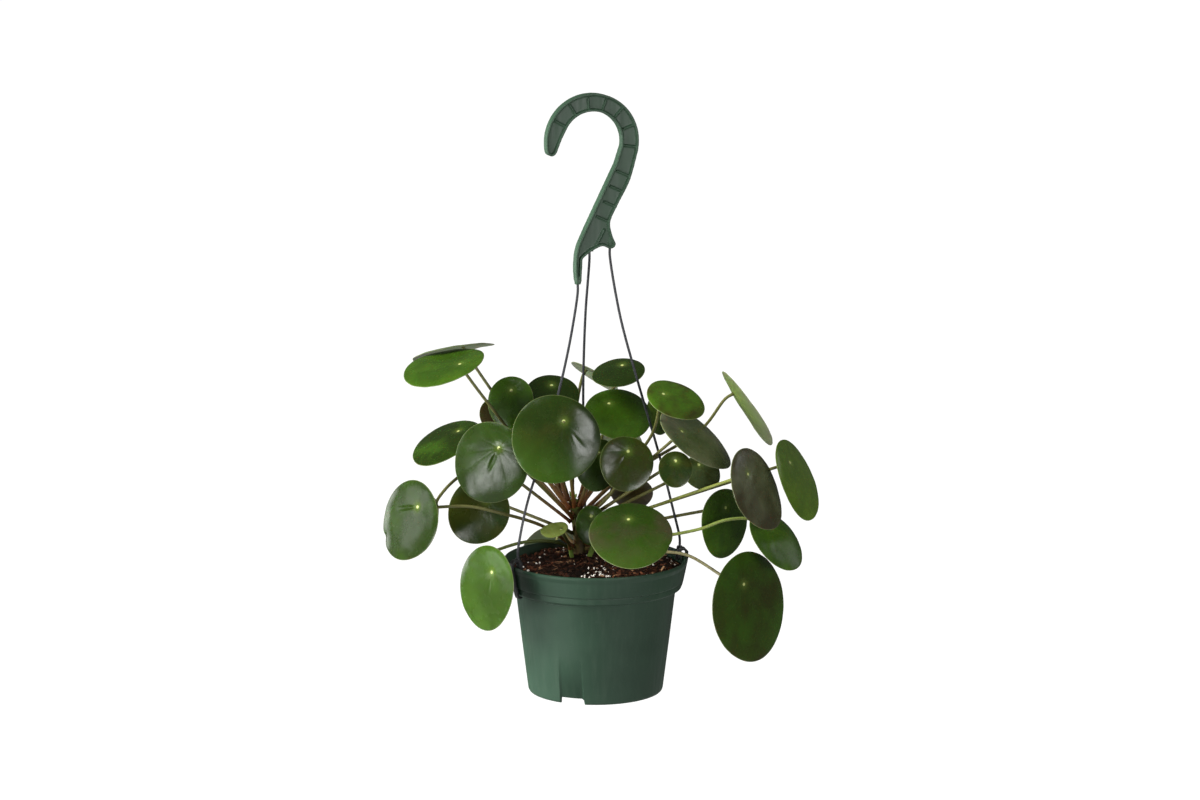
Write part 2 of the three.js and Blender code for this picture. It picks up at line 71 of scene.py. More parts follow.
# The camera stands across the room.
view = {"eye": (4.0, -3344.1, 879.1), "aim": (4.0, 0.0, 265.3), "lens": 114.2, "sensor": 36.0}


def makeCamera():
    data = bpy.data.cameras.new("roomCamera")
    data.lens, data.sensor_width = view["lens"], view["sensor"]
    data.clip_start, data.clip_end = 0.05, 60
    camera = bpy.data.objects.new("roomCamera", data)
    bpy.context.scene.collection.objects.link(camera)
    camera.location = toRow(view["eye"])
    toAim = Vector(toRow(view["aim"]) - toRow(view["eye"]))
    camera.rotation_euler = toAim.to_track_quat("-Z", "Y").to_euler()
    bpy.context.scene.camera = camera


makeCamera()
print("stage 1: camera")


# Colours and nodes.
def linear(hexColour):
    parts = [int(hexColour[i:i + 2], 16) / 255 for i in (1, 3, 5)]
    return [c / 12.92 if c <= 0.04045 else ((c + 0.055) / 1.055) ** 2.4 for c in parts] + [1.0]


def addNode(tree, kind, inputs=None, output=None, **settings):  # gives the output that the next node reads
    node = tree.nodes.new(kind)
    for name, value in settings.items():
        setattr(node, name, value)
    for key, value in (inputs or {}).items():
        socket = node.inputs[key] if isinstance(key, int) else [
            s for s in node.inputs if s.enabled and s.name == key][0]
        if isinstance(value, bpy.types.NodeSocket):
            tree.links.new(value, socket)
        else:
            socket.default_value = value
    return [s for s in node.outputs if s.enabled and output in (None, s.name)][0]


def pattern(tree, source):  # an attribute by its name, or noise in lumps of so many millimetres
    if isinstance(source, str):
        return addNode(tree, "ShaderNodeAttribute", output="Fac", attribute_name=source)
    size, detail, roughness, distortion, drawn = (*source, *(3, 0.55, 0, 1)[len(source) - 1:])
    place = addNode(tree, "ShaderNodeTexCoord", output="Object")
    if drawn != 1:
        place = addNode(tree, "ShaderNodeMapping", {"Vector": place, "Scale": (1, 1, drawn)})
    return addNode(tree, "ShaderNodeTexNoise", {
        "Vector": place, "Scale": 1 / (size * mm), "Detail": detail, "Roughness": roughness,
        "Distortion": distortion})


def measured(tree, source, low, high, toLow=0.0, toHigh=1.0):  # a pattern brought to the wanted values
    return addNode(tree, "ShaderNodeMapRange", {
        "Value": pattern(tree, source), "From Min": low, "From Max": high, "To Min": toLow, "To Max": toHigh})


# A finish is a ground colour (or an attribute that holds it), then colours that patterns lay over it. Gloss
# and relief are sums of patterns. A pattern is a noise (lump size in mm, detail, roughness, distortion, how
# far it is drawn out along Z) or an attribute, with the values that it runs from and to.
def makeFinish(name, ground, layers, gloss, relief, depth, strength=0.6, **shaderValues):
    material = bpy.data.materials.new(name)
    material.use_nodes = True
    tree = material.node_tree
    shader = tree.nodes["Principled BSDF"]
    for socket, value in shaderValues.items():
        shader.inputs[socket.replace("_", " ")].default_value = value
    colour = linear(ground) if ground.startswith("#") else addNode(
        tree, "ShaderNodeAttribute", output="Color", attribute_name=ground)
    for over, *amount in layers:
        colour = addNode(tree, "ShaderNodeMix", {
            "Factor": measured(tree, *amount), "A": colour, "B": linear(over)}, data_type="RGBA")
    tree.links.new(colour, shader.inputs["Base Color"])
    rough = measured(tree, *gloss[0])
    for more in gloss[1:]:
        rough = addNode(tree, "ShaderNodeMath", {0: rough, 1: measured(tree, *more)}, operation="ADD")
    tree.links.new(rough, shader.inputs["Roughness"])
    height = pattern(tree, relief[0])
    for source, share in relief[1:]:
        height = addNode(tree, "ShaderNodeMath", {0: pattern(tree, source), 1: share, 2: height},
                         operation="MULTIPLY_ADD")
    bump = addNode(tree, "ShaderNodeBump", {"Height": height, "Strength": strength, "Distance": depth * mm})
    tree.links.new(bump, shader.inputs["Normal"])
    return material


# Curves and meshes.
def unit(vector):
    return vector / np.linalg.norm(vector)


def polar(radius, degrees, height=0.0):
    angle = math.radians(degrees)
    return np.array([radius * math.cos(angle), radius * math.sin(angle), height])


def throughPoints(points, perStretch=24):  # a smooth curve through every point
    ends = [np.asarray(p, float) for p in points]
    ends = [2 * ends[0] - ends[1], *ends, 2 * ends[-1] - ends[-2]]
    found = []
    for before, start, stop, after in zip(ends, ends[1:], ends[2:], ends[3:]):
        spans = (start - before, stop - start, after - stop)
        a, b, c = (max(np.linalg.norm(span), 1e-6) ** 0.5 for span in spans)
        leave = ((start - before) / a - (stop - before) / (a + b) + (stop - start) / b) * b
        arrive = ((stop - start) / b - (after - start) / (b + c) + (after - stop) / c) * b
        t = np.linspace(0, 1, perStretch, endpoint=False)[:, None]
        found.append(start + leave * t + (3 * (stop - start) - 2 * leave - arrive) * t ** 2
                     + (2 * (start - stop) + leave + arrive) * t ** 3)
    return np.vstack([*found, ends[-2][None]])


def bezier(points, count=96):
    t = np.linspace(0, 1, count)[:, None]
    rest = [np.asarray(p, float) for p in points]
    layers = [np.repeat(p[None], count, 0) for p in rest]
    while len(layers) > 1:
        layers = [a * (1 - t) + b * t for a, b in zip(layers, layers[1:])]
    return layers[0]


def evenly(path, count):  # the same path, in steps of equal length
    travelled = np.concatenate([[0], np.cumsum(np.linalg.norm(np.diff(path, axis=0), axis=1))])
    wanted = np.linspace(0, travelled[-1], count)
    return np.stack([np.interp(wanted, travelled, path[:, k]) for k in range(path.shape[1])], 1)


def skin(rows):  # rows of points, closed round; a row of one point is a pole
    points, faces, starts = [], [], []
    for row in rows:
        starts.append(sum(len(p) for p in points))
        points.append(np.asarray(row, float).reshape(-1, 3))
    for j in range(len(rows) - 1):
        near, far, count = starts[j], starts[j + 1], max(len(points[j]), len(points[j + 1]))
        for i in range(count):
            k = (i + 1) % count
            if len(points[j]) == 1:
                faces.append((near, far + i, far + k))
            elif len(points[j + 1]) == 1:
                faces.append((near + i, far, near + k))
            else:
                faces.append((near + i, far + i, far + k, near + k))
    return outward(np.vstack(points), faces)


def outward(points, faces):  # turns a shell's faces round if they point inwards
    volume = sum(np.dot(points[f[0]], np.cross(points[f[i]], points[f[i + 1]]))
                 for f in faces for i in range(1, len(f) - 1))
    return points, faces if volume > 0 else [tuple(reversed(f)) for f in faces]


def lathe(profile, sides, axis=(0.0, 0.0)):  # [radius, height] pairs about an upright axis
    turn = np.linspace(0, 2 * math.pi, sides, endpoint=False)
    rows = []
    for radius, height in profile:
        if radius < 1e-6:
            rows.append([[axis[0], axis[1], height]])
        else:
            rows.append(np.stack([axis[0] + radius * np.cos(turn), axis[1] + radius * np.sin(turn),
                                  np.full(sides, height)], 1))
    return skin(rows)


def tube(path, radii, sides):  # a round bar along a path, with domed ends
    along = np.gradient(path, axis=0)
    along /= np.linalg.norm(along, axis=1)[:, None]
    across = unit(np.cross(along[0], [0.31, 0.87, 0.38]))
    turn = np.linspace(0, 2 * math.pi, sides, endpoint=False)
    rows = [[path[0] - along[0] * radii[0] * 0.25]]
    for point, heading, radius in zip(path, along, radii):
        across = unit(across - heading * np.dot(across, heading))
        other = np.cross(heading, across)
        rows.append(point + radius * (np.cos(turn)[:, None] * across + np.sin(turn)[:, None] * other))
    rows.append([path[-1] + along[-1] * radii[-1] * 0.25])
    return skin(rows)


def prism(outline, low, high, place=None):  # a flat outline given a thickness
    count = len(outline)
    flat = np.asarray(outline, float)
    points = np.vstack([np.column_stack([flat, np.full(count, h)]) for h in (low, high)])
    faces = [tuple(range(count)), tuple(range(2 * count - 1, count - 1, -1))]
    faces += [(i, (i + 1) % count, count + (i + 1) % count, count + i) for i in range(count)]
    return outward(place(points) if place else points, faces)


def together(shells):
    points, faces, first = [], [], 0
    for shellPoints, shellFaces in shells:
        points.append(shellPoints)
        faces += [tuple(first + i for i in face) for face in shellFaces]
        first += len(shellPoints)
    return np.vstack(points), faces


def makeMesh(name, points, faces, materials=(), slots=None, floats=None, colours=None):
    mesh = bpy.data.meshes.new(name)
    mesh.from_pydata(toRow(points).tolist(), [], faces)
    for material in materials:
        mesh.materials.append(material)
    if slots is not None:
        mesh.polygons.foreach_set("material_index", np.asarray(slots, np.int32))
    for key, values in (floats or {}).items():
        mesh.attributes.new(key, "FLOAT", "POINT").data.foreach_set("value", np.asarray(values, np.float32))
    for key, values in (colours or {}).items():
        layer = mesh.attributes.new(key, "FLOAT_COLOR", "POINT")
        layer.data.foreach_set("color", np.asarray(values, np.float32).ravel())
    mesh.shade_smooth()
    piece = bpy.data.objects.new(name, mesh)
    bpy.context.scene.collection.objects.link(piece)
    return piece


def plain(piece):  # the modifiers' result as the piece's own mesh
    materials = list(piece.data.materials)
    piece.data = bpy.data.meshes.new_from_object(piece.evaluated_get(bpy.context.evaluated_depsgraph_get()))
    piece.modifiers.clear()
    if not piece.data.materials:
        for material in materials:
            piece.data.materials.append(material)


def melted(piece, grain, smoothing):  # overlapping solids made one skin, with softened corners
    melt = piece.modifiers.new("melt", "REMESH")
    melt.mode, melt.voxel_size = "VOXEL", grain * mm
    soften = piece.modifiers.new("soften", "SMOOTH")
    soften.factor, soften.iterations = 0.5, smoothing
    plain(piece)
    piece.data.shade_smooth()


def cut(piece, shell):
    cutter = makeMesh("cutter", *shell)
    modifier = piece.modifiers.new("cut", "BOOLEAN")
    modifier.operation, modifier.object, modifier.solver = "DIFFERENCE", cutter, "EXACT"
    plain(piece)
    bpy.data.objects.remove(cutter)


def finished(piece, slot, *nodes):
    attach(piece, "root")
    if nodes:
        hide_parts(*nodes)
    return piece


def lump(point, size, octaves=3):  # smooth noise between -1 and 1, in lumps of that size
    return noise.fractal(Vector([p / size for p in point]), 0.6, 2.1, octaves)


# Stem: where the leaves grow from.
stem = {
    "x": -14, "y": 28, "lean": -6, "foot": 92, "soilLine": 117, "top": 170, "radius": 6, "topRadius": 4.2,
    "sides": 56, "rows": 150, "cushion": 0.75, "cushionSize": 2.6, "ridge": 0.22, "clearance": 0.3,
    "spiral": 137.5, "scars": range(3, 10), "scarFoot": 96, "scarStep": 7.3, "scarTurn": 20, "scarSize": 1.6,
    "scarLine": 0.5, "scarDepth": 0.35, "domed": 2.6,
}
shoots = [
    {"start": (-13, 26, 102), "end": (2, 10, 146), "radius": 2.8},
    {"start": (-16, 26, 102), "end": (-23, 11, 127), "radius": 2.6},
]
stalk = {
    "baseRadius": 1.6, "tipRadius": 1.4, "leadOut": 16, "leadIn": 9, "sides": 14, "steps": 56, "flare": 1.7,
    "flareReach": 1.6, "footSwell": 0.5, "footReach": 2.2, "ripple": 0.03, "rippleRate": 0.9, "sunk": 0.9,
    "tones": ("#74421f", "#5c5a2e", "#6d7040"), "middleAt": 0.35,
}

stemMiddle = (stem["soilLine"] + stem["top"]) / 2
stemPath = evenly(throughPoints([
    (stem["x"] + 2, stem["y"], stem["foot"]), (stem["x"], stem["y"], stem["soilLine"]),
    (stem["x"] + 0.3 * stem["lean"], stem["y"], stemMiddle),
    (stem["x"] + stem["lean"], stem["y"], stem["top"]),
]), stem["rows"])


def stemRadius(height):
    share = max(0.0, (height - stem["soilLine"]) / (stem["top"] - stem["soilLine"]))
    return stem["radius"] + (stem["topRadius"] - stem["radius"]) * share


def stemCentre(height):
    share = (height - stem["foot"]) / (stem["top"] - stem["foot"])
    place = min(share, 1.0) * (len(stemPath) - 1)
    index = min(int(place), len(stemPath) - 2)
    return stemPath[index] + (stemPath[index + 1] - stemPath[index]) * (place - index)


def shootPath(shoot):
    start, end = (np.array(shoot[k], float) for k in ("start", "end"))
    bend = start + (end - start) * np.array([0.7, 0.7, 0.45])
    return bezier([start, bend, end], 40)


# Leaf colours: what the blade is mostly, and what it is blotched with.
tones = {
    # the pale young green is partly a young leaf's own colour and partly painted light shining through the
    # thin leaf
    "young": "#93a350", "lime": "#5c7a1c", "fresh": "#446515", "grass": "#34520f", "deep": "#29410b",
    "shade": "#1e3007", "olive": "#30360e", "umber": "#352b12", "dusk": "#403c28", "slate": "#44502f",
    # the grey ash tone is partly the leaves' own grey-green and partly a painted grey sheen
    "ashAndSheen": "#62654a",
}

# Each leaf: the point where its stalk meets the blade, the way its upper side faces (degrees round Z, degrees
# up), its length, the height and side of the stem where its stalk grows (or the shoot that it grows on) and
# its tones with the share of the second. Some also have a tip that swings out of straight down, another ratio
# of width to length, points that the stalk bends past, a cupped blade, a lighter tone for the tip (painted
# light shining through the thin blade) or a tone for the underside, a duller top, their own stalk tones, or a
# shorter last stretch of stalk.
leaves = {
    1: {"hub": (-121, -5, 299), "face": (-132, 69), "swing": -76, "length": 77, "ratio": 0.9,
        "node": (162, 222), "tones": ("grass", "fresh", 0.4)},
    2: {"hub": (-120, 45, 307), "face": (125, 76), "length": 80, "node": (168, 140),
        "tones": ("grass", "dusk", 0.3)},
    3: {"hub": (-76, 28, 269), "face": (-107, 20), "length": 48, "ratio": 0.9, "node": (163, 178),
        "tones": ("grass", "deep", 0.35)},
    4: {"hub": (-40, 60, 268), "face": (-86, 56), "length": 54, "node": (168, 202),
        "tones": ("shade", "shade", 0.4)},
    5: {"hub": (-28, -58, 257), "face": (-95, 12), "swing": -25, "length": 78, "ratio": 1.0,
        "node": (163, 265), "tones": ("shade", "olive", 0.2), "tip": "grass"},
    6: {"hub": (-86, -32, 228), "face": (-114, 8), "swing": -32, "length": 74, "ratio": 0.95,
        "node": (152, 232), "tones": ("shade", "deep", 0.4)},
    7: {"hub": (-124, 27, 232), "face": (-139, 67), "length": 69, "node": (148, 195),
        "tones": ("shade", "grass", 0.4)},
    8: {"hub": (-159, -20, 172), "face": (-133, 14), "swing": -36, "length": 75, "node": (126, 218),
        "via": ((-46, 15, 146), (-86, -8, 164), (-114, -13, 171)), "tones": ("shade", "deep", 0.4)},
    9: {"hub": (-98, 12, 172), "face": (-104, 10), "swing": -35, "length": 61, "ratio": 0.93,
        "node": (138, 205), "tones": ("olive", "shade", 0.4),
        "stalkTones": ("#5a5630", "#7e7c4c", "#96945e")},
    10: {"hub": (-92, -58, 121), "face": (-137, 8), "swing": -25, "length": 78, "node": (122, 180),
        "via": ((-35, 19, 131), (-62, 12, 133), (-86, 0, 129), (-99, -30, 128)),
        "tones": ("deep", "grass", 0.5), "stalkTones": ("#4a5424", "#5c6a2e", "#7c8442")},
    11: {"hub": (-91, 34, 253), "face": (-95, 22), "length": 30, "node": (158, 158),
        "tones": ("umber", "olive", 0.4)},
    12: {"hub": (24, 52, 288), "face": (-111, 71), "length": 52, "node": (169, 30),
        "via": ((-2, 46, 215), (12, 62, 258)), "tones": ("shade", "shade", 0.35)},
    13: {"hub": (-8, 74, 281), "face": (32, 58), "length": 50, "node": (169, 100), "via": ((-20, 50, 225),),
        "tones": ("slate", "fresh", 0.3)},
    14: {"hub": (12, 40, 255), "face": (-86, 57), "swing": 35, "length": 63, "ratio": 0.94,
        "node": (166, 345), "tones": ("grass", "deep", 0.4)},
    15: {"hub": (29, -12, 221), "face": (-87, 26), "swing": -8, "length": 50, "ratio": 0.96,
        "node": (150, 300), "via": ((8, 6, 172), (19, 1, 188)), "tones": ("olive", "deep", 0.3)},
    16: {"hub": (60, -38, 278), "face": (-60, 58), "swing": 50, "length": 54, "ratio": 0.93,
        "node": (157, 338), "via": ((24, 18, 196), (50, -4, 234)), "tones": ("fresh", "umber", 0.4)},
    17: {"hub": (58, 60, 250), "face": (-43, 10), "length": 38, "node": (163, 15),
        "tones": ("lime", "grass", 0.4)},
    18: {"hub": (77, -16, 240), "face": (-30, 52), "swing": 50, "length": 79, "node": (153, 328),
        "tones": ("ashAndSheen", "slate", 0.5)},
    19: {"hub": (71, -25.5, 215), "face": (-86, 25), "length": 33, "node": (147, 312),
        "tones": ("shade", "olive", 0.4)},
    20: {"hub": (92.5, 2.5, 206), "face": (-80, 40), "swing": 17, "length": 36, "ratio": 0.93,
        "node": (146, 336), "tones": ("slate", "olive", 0.4)},
    21: {"hub": (125, 20, 268), "face": (14, 28), "length": 80, "cup": True, "node": (156, 5),
        "via": ((20, 39, 184), (56, 38, 206), (96, 32, 233)), "tones": ("lime", "slate", 0.3),
        "under": "#7f9150", "matt": 0.35},
    22: {"hub": (174, -8, 210), "face": (-23, 26), "swing": 17, "length": 77, "node": (141, 350),
        "tones": ("lime", "fresh", 0.4)},
    23: {"hub": (135, -45, 207), "face": (-33, 23), "swing": 30, "length": 78, "node": (139.5, 324),
        "tones": ("ashAndSheen", "dusk", 0.6), "stalkTones": ("#4f4626", "#6c7034", "#95a04f")},
    24: {"hub": (117, 0, 167), "face": (-48, 6), "swing": -5, "length": 63, "node": (136, 350),
        "tones": ("fresh", "grass", 0.5)},
    25: {"hub": (155, -20, 154), "face": (-40, 45), "length": 62, "node": (132, 332), "leadIn": 4,
        "via": ((50, -10, 142), (93, -30, 154), (116, -25, 161), (138, -21, 161)),
        "tones": ("grass", "fresh", 0.35), "stalkTones": ("#56521f", "#7d8a3c", "#9caf5c")},
    26: {"hub": (132, -45, 107), "face": (-45, 10), "swing": 18, "length": 100, "ratio": 0.93,
        "node": (124, 330), "via": ((62, -2, 127), (84, -15, 126)), "tones": ("grass", "olive", 0.4),
        "stalkTones": ("#857548", "#a49d70", "#b4ae86")},
    27: {"hub": (29, -58, 169), "face": (-91, 60), "swing": 8, "length": 80, "node": (128, 335),
        "via": ((4, 14, 130), (12, -4, 136), (22, -32, 148)), "tones": ("deep", "dusk", 0.45),
        "tip": "grass"},
    28: {"hub": (3, 10, 215), "face": (-69, 8), "swing": -8, "length": 48, "ratio": 0.88,
        "node": (164, 305), "tones": ("shade", "deep", 0.4)},
    29: {"hub": (-4, 6, 158), "face": (-110, 15), "length": 36, "ratio": 0.8, "shoot": 0,
        "tones": ("deep", "grass", 0.5)},
    30: {"hub": (34, 29, 182), "face": (85, 38), "swing": 12, "length": 43, "ratio": 0.91,
        "node": (149, 347), "tones": ("umber", "olive", 0.4), "under": "#453b16"},
    31: {"hub": (-31, 0, 147.5), "face": (-128, 60), "swing": -50, "length": 25, "ratio": 0.88, "cup": True,
        "shoot": 1, "tones": ("young", "lime", 0.2)},
    32: {"hub": (-152, 6, 166), "face": (-142, 18), "length": 42, "ratio": 0.9, "node": (155, 207),
        "via": ((-60, 20, 195), (-98, 14, 206), (-126, 9, 191), (-142, 8, 173)),
        "tones": ("slate", "deep", 0.4)},
    33: {"hub": (-42, 112, 110), "face": (112, 12), "length": 66, "node": (122, 100),
        "via": ((-24, 60, 125), (-32, 88, 127)), "tones": ("grass", "deep", 0.4)},
    34: {"hub": (30, 114, 104), "face": (65, 10), "swing": 10, "length": 70, "node": (122, 60),
        "via": ((8, 62, 125), (18, 92, 127)), "tones": ("deep", "olive", 0.35)},
    35: {"hub": (-46, 88, 224), "face": (118, 32), "length": 52, "ratio": 0.94, "node": (160, 120),
        "tones": ("fresh", "grass", 0.4)},
    36: {"hub": (22, 84, 218), "face": (70, 30), "swing": -15, "length": 42, "node": (158, 50),
        "tones": ("grass", "umber", 0.3)},
    37: {"hub": (40, 98, 140), "face": (55, 25), "length": 54, "ratio": 0.93, "node": (134, 45),
        "tones": ("deep", "dusk", 0.3)},
}

# Marks that single leaves carry: a crease (degrees from the tip, start, end, depth), a nick in the rim
# (degrees, depth, width), or a side that bends back (degrees, distance of the bend from the dot, degrees of
# bend, how soft the bend is).
marks = {
    5: {"crease": (62, 14, 34, 0.5), "fold": (114, 11, 17, 9)},
    6: {"crease": (8, 5, 24, 1.1), "fold": (85, 2, 7, 5)},
    8: {"crease": (-42, 3, 26, 0.9), "nick": (-24, 2.6, 5)},
    10: {"crease": (20, 6, 22, 0.4)},
    14: {"crease": (-150, 3, 14, 0.6)},
    15: {"crease": (-20, 4, 18, 0.6), "fold": (-105, 6, -21, 3)},
    26: {"crease": (12, 8, 40, 0.5)},
    27: {"nick": (64, 1.0, 5)},
}

blade = {
    "ratio": 0.92, "thickness": 1.0, "rimThickness": 0.6, "hub": 0.27, "dome": 0.06, "cup": 1.9, "sides": 112,
    "rimSteps": 5, "wave": 0.011, "rimCurl": 0.016, "dimple": 0.8, "dimpleReach": 3.4, "veinDepth": 0.1,
    "veinWidth": 0.9, "halo": 4.2, "noDot": 40, "underTone": "#98a680", "underRim": "#8f8588",
    "haloTone": "#7d9440", "veins": (0, 23, -25, 50, -48, 80, -83, 113, -116, 148, -150, 180),
    "veinTop": 0.6, "veinUnder": 1.6, "taper": 0.06, "curlFrom": 0.72, "uneven": 0.35, "unevenSize": 17,
    "creaseWidth": 1.6, "creaseStart": 5, "creaseEnd": 8, "nickFrom": 0.8,
    "reaches": (0.02, 0.05, 0.09, 0.14, 0.2, 0.27, 0.34, 0.42, 0.5, 0.58, 0.66, 0.74, 0.81, 0.87, 0.92, 0.96,
                0.985),
}
bladeShading = {  # how far each place goes to its own colour, or how much lighter it is
    "tip": 0.7, "tipFrom": 0.2, "tipFull": 0.6, "middle": 0.93, "rimHighlightGain": 0.16, "halo": 0.35, "veins": 0.08,
    "under": 0.5, "underRim": 0.35, "underVeins": 0.3, "underMatt": 0.2, "patchSize": 0.42,
}


def leafAxes(leaf):
    azimuth, elevation = (math.radians(a) for a in leaf["face"])
    swing = math.radians(leaf.get("swing", 0))
    normal = polar(math.cos(elevation), leaf["face"][0], math.sin(elevation))
    downhill = polar(math.sin(elevation), leaf["face"][0], -math.cos(elevation))
    sideways = np.array([-math.sin(azimuth), math.cos(azimuth), 0])
    tip = downhill * math.cos(swing) + sideways * math.sin(swing)
    return normal, tip, np.cross(normal, tip)


def stalkStart(leaf):
    if "shoot" in leaf:
        path = shootPath(shoots[leaf["shoot"]])
        heading = unit(path[-1] - path[-2])
        return path[-1] - heading * 0.5, heading
    height, side = leaf["node"]
    out = polar(1, side)
    bark = stemCentre(height) + out * stemRadius(height)
    target = np.array(leaf["via"][0] if leaf.get("via") else leaf["hub"], float)
    way = unit(target - bark)
    rise = min(1.2, max(0.15, way[2] / 0.7))
    heading = way if leaf.get("via") else unit(out + np.array([0, 0, rise]))
    tilted = stalk["baseRadius"] * math.sqrt(max(0.0, 1 - np.dot(heading, out) ** 2))
    return bark + out * (stem["clearance"] + tilted), heading


def stalkPath(leaf):
    start, heading = stalkStart(leaf)
    normal = leafAxes(leaf)[0]
    end = np.array(leaf["hub"], float)
    last = end - normal * leaf.get("leadIn", stalk["leadIn"])
    if leaf.get("via"):
        path = throughPoints([start, *leaf["via"], last, end])
    else:
        leadOut = min(stalk["leadOut"], 0.3 * np.linalg.norm(end - start))
        path = bezier([start, start + heading * leadOut, last, end])
    return evenly(path, stalk["steps"])


def veinStrength(away, turn, fromHub):  # how strongly a vein shows at a place on the blade
    found = 0.0
    for angle in blade["veins"]:
        centre = math.radians(angle) * (1 - 0.08 * min(fromHub, 1.6))
        apart = (turn - centre + math.pi) % (2 * math.pi) - math.pi
        if abs(apart) < 1.2:
            found = max(found, math.exp(-(away * math.sin(apart) / blade["veinWidth"]) ** 2))
    return found * min(1.0, away / 5) * max(0.0, 1 - 0.55 * fromHub)


def bladeParts(number, leaf):
    length, ratio = leaf["length"], leaf.get("ratio", blade["ratio"])
    normal, tip, side = leafAxes(leaf)
    hub = np.array(leaf["hub"], float)
    sides, half, hubShift = blade["sides"], 0.5 * length, length * (0.5 - blade["hub"])
    shading = bladeShading
    mark = marks.get(number, {})
    bend = blade["cup"] if leaf.get("cup") else -1
    mainTone, blotchTone, blotched = leaf["tones"]
    mainColour, blotchColour = (np.array(linear(tones[t])[:3]) for t in (mainTone, blotchTone))
    backlitTipColour = np.array(linear(tones[leaf.get("tip", mainTone)])[:3])
    underTone = leaf.get("under", blade["underTone"])
    underColour, underRim, haloColour = (
        np.array(linear(c)[:3]) for c in (underTone, blade["underRim"], blade["haloTone"]))

    # the blade's section: over the top from the hub, round the rim and back underneath
    section = [(reach, 1.0) for reach in blade["reaches"]]
    last = blade["reaches"][-1]
    for step in range(1, blade["rimSteps"]):
        angle = math.pi * step / blade["rimSteps"]
        section.append((last + (1 - last) * math.sin(angle), math.cos(angle)))
    section += [(reach, -1.0) for reach in reversed(blade["reaches"])]

    def surface(turn, reach, lift):
        across = math.sin(turn)
        along = math.cos(turn)
        nick = 0.0
        if "nick" in mark:
            at, depth, width = mark["nick"]
            apart = (turn - math.radians(at) + math.pi) % (2 * math.pi) - math.pi
            nearRim = max(0.0, (reach - blade["nickFrom"]) / (1 - blade["nickFrom"]))
            nick = depth * math.exp(-(apart * half / width) ** 2) * nearRim ** 2
        x = (hubShift + half * along) * reach
        y = half * ratio * across * (1 - blade["taper"] * along) * reach
        away = math.hypot(x, y)
        if nick and away:
            x, y = x * (1 - nick / away), y * (1 - nick / away)
        bearing = math.atan2(y, x)
        fromHub = away / half
        rise = bend * blade["dome"] * half * fromHub * fromHub
        rise += blade["wave"] * length * fromHub ** 2 * math.sin(2 * bearing + 1.7 * number)
        rise += 0.6 * blade["wave"] * length * fromHub ** 3 * math.sin(3 * bearing + 2.3 * number)
        curl = max(0.0, (reach - blade["curlFrom"]) / (1 - blade["curlFrom"])) ** 2
        rise -= blade["rimCurl"] * length * curl * (0.6 + 0.4 * math.sin(bearing + number))
        rise -= blade["dimple"] * math.exp(-(away / blade["dimpleReach"]) ** 2)
        rise += blade["uneven"] * lump((x, y, 7.0 * number), blade["unevenSize"], 2)
        if "crease" in mark:
            at, begin, end, depth = mark["crease"]
            offset = away * math.sin(bearing - math.radians(at))
            inside = min(max((away - begin) / blade["creaseStart"], 0), 1)
            inside *= min(max((end - away) / blade["creaseEnd"], 0), 1)
            if math.cos(bearing - math.radians(at)) > 0:
                rise -= depth * inside * math.exp(-(offset / blade["creaseWidth"]) ** 2)
        if "fold" in mark:
            at, begin, degrees, soft = mark["fold"]
            beyond = away * math.cos(bearing - math.radians(at)) - begin
            rise -= math.tan(math.radians(degrees)) * (math.hypot(beyond, soft) + beyond) / 2
        vein = veinStrength(away, bearing, fromHub)
        thick = blade["thickness"] + (blade["rimThickness"] - blade["thickness"]) * reach ** 3
        veinShare = blade["veinTop"] if lift > 0 else blade["veinUnder"]
        rise += 0.5 * thick * lift - veinShare * blade["veinDepth"] * vein
        return x, y, rise, away, vein

    turns = np.linspace(0, 2 * math.pi, sides, endpoint=False)
    rows, facts = [], []
    for place, (reach, lift) in enumerate([(0.0, 1.0), *section, (0.0, -1.0)]):
        ring = []
        for turn in turns[:1] if reach == 0 else turns:
            x, y, rise, away, vein = surface(turn, reach, lift)
            ring.append(hub + tip * x + side * y + normal * rise)
            toRim = math.hypot(half * ratio * math.sin(turn), hubShift + half * math.cos(turn))
            patch = 0.5 + 0.5 * lump((x, y, 31.0 * number), shading["patchSize"] * length, 3)
            patch = min(max((patch - 0.75 + blotched) / 0.5, 0), 1)
            colour = mainColour + (blotchColour - mainColour) * patch
            # painted light: the blade turns to a lighter tip colour, as light shining through the thin blade
            if "tip" in leaf:
                share = (x / length - shading["tipFrom"]) / (shading["tipFull"] - shading["tipFrom"])
                colour = colour + (backlitTipColour - colour) * shading["tip"] * min(max(share, 0), 1)
            # painted highlight: the blade is lighter towards its rim, as an edge that catches the light
            colour = colour * (shading["middle"] + shading["rimHighlightGain"] * reach ** 2)
            if lift > 0:
                halo = shading["halo"] * math.exp(-(away / blade["halo"]) ** 2)
                colour = colour + (haloColour - colour) * halo
                colour = colour * (1 + shading["veins"] * vein)
                fromDot, matt = away, leaf.get("matt", 0.0)
            else:
                colour = colour + (underColour - colour) * shading["under"]
                colour = colour + (underRim - colour) * shading["underRim"] * reach ** 3
                colour = colour * (1 + shading["underVeins"] * vein)
                fromDot, matt = blade["noDot"], shading["underMatt"]
            facts.append((*colour, (1 - reach) * toRim, fromDot, matt))
        rows.append(ring)
    points, faces = skin(rows)
    return points, faces, np.array(facts)


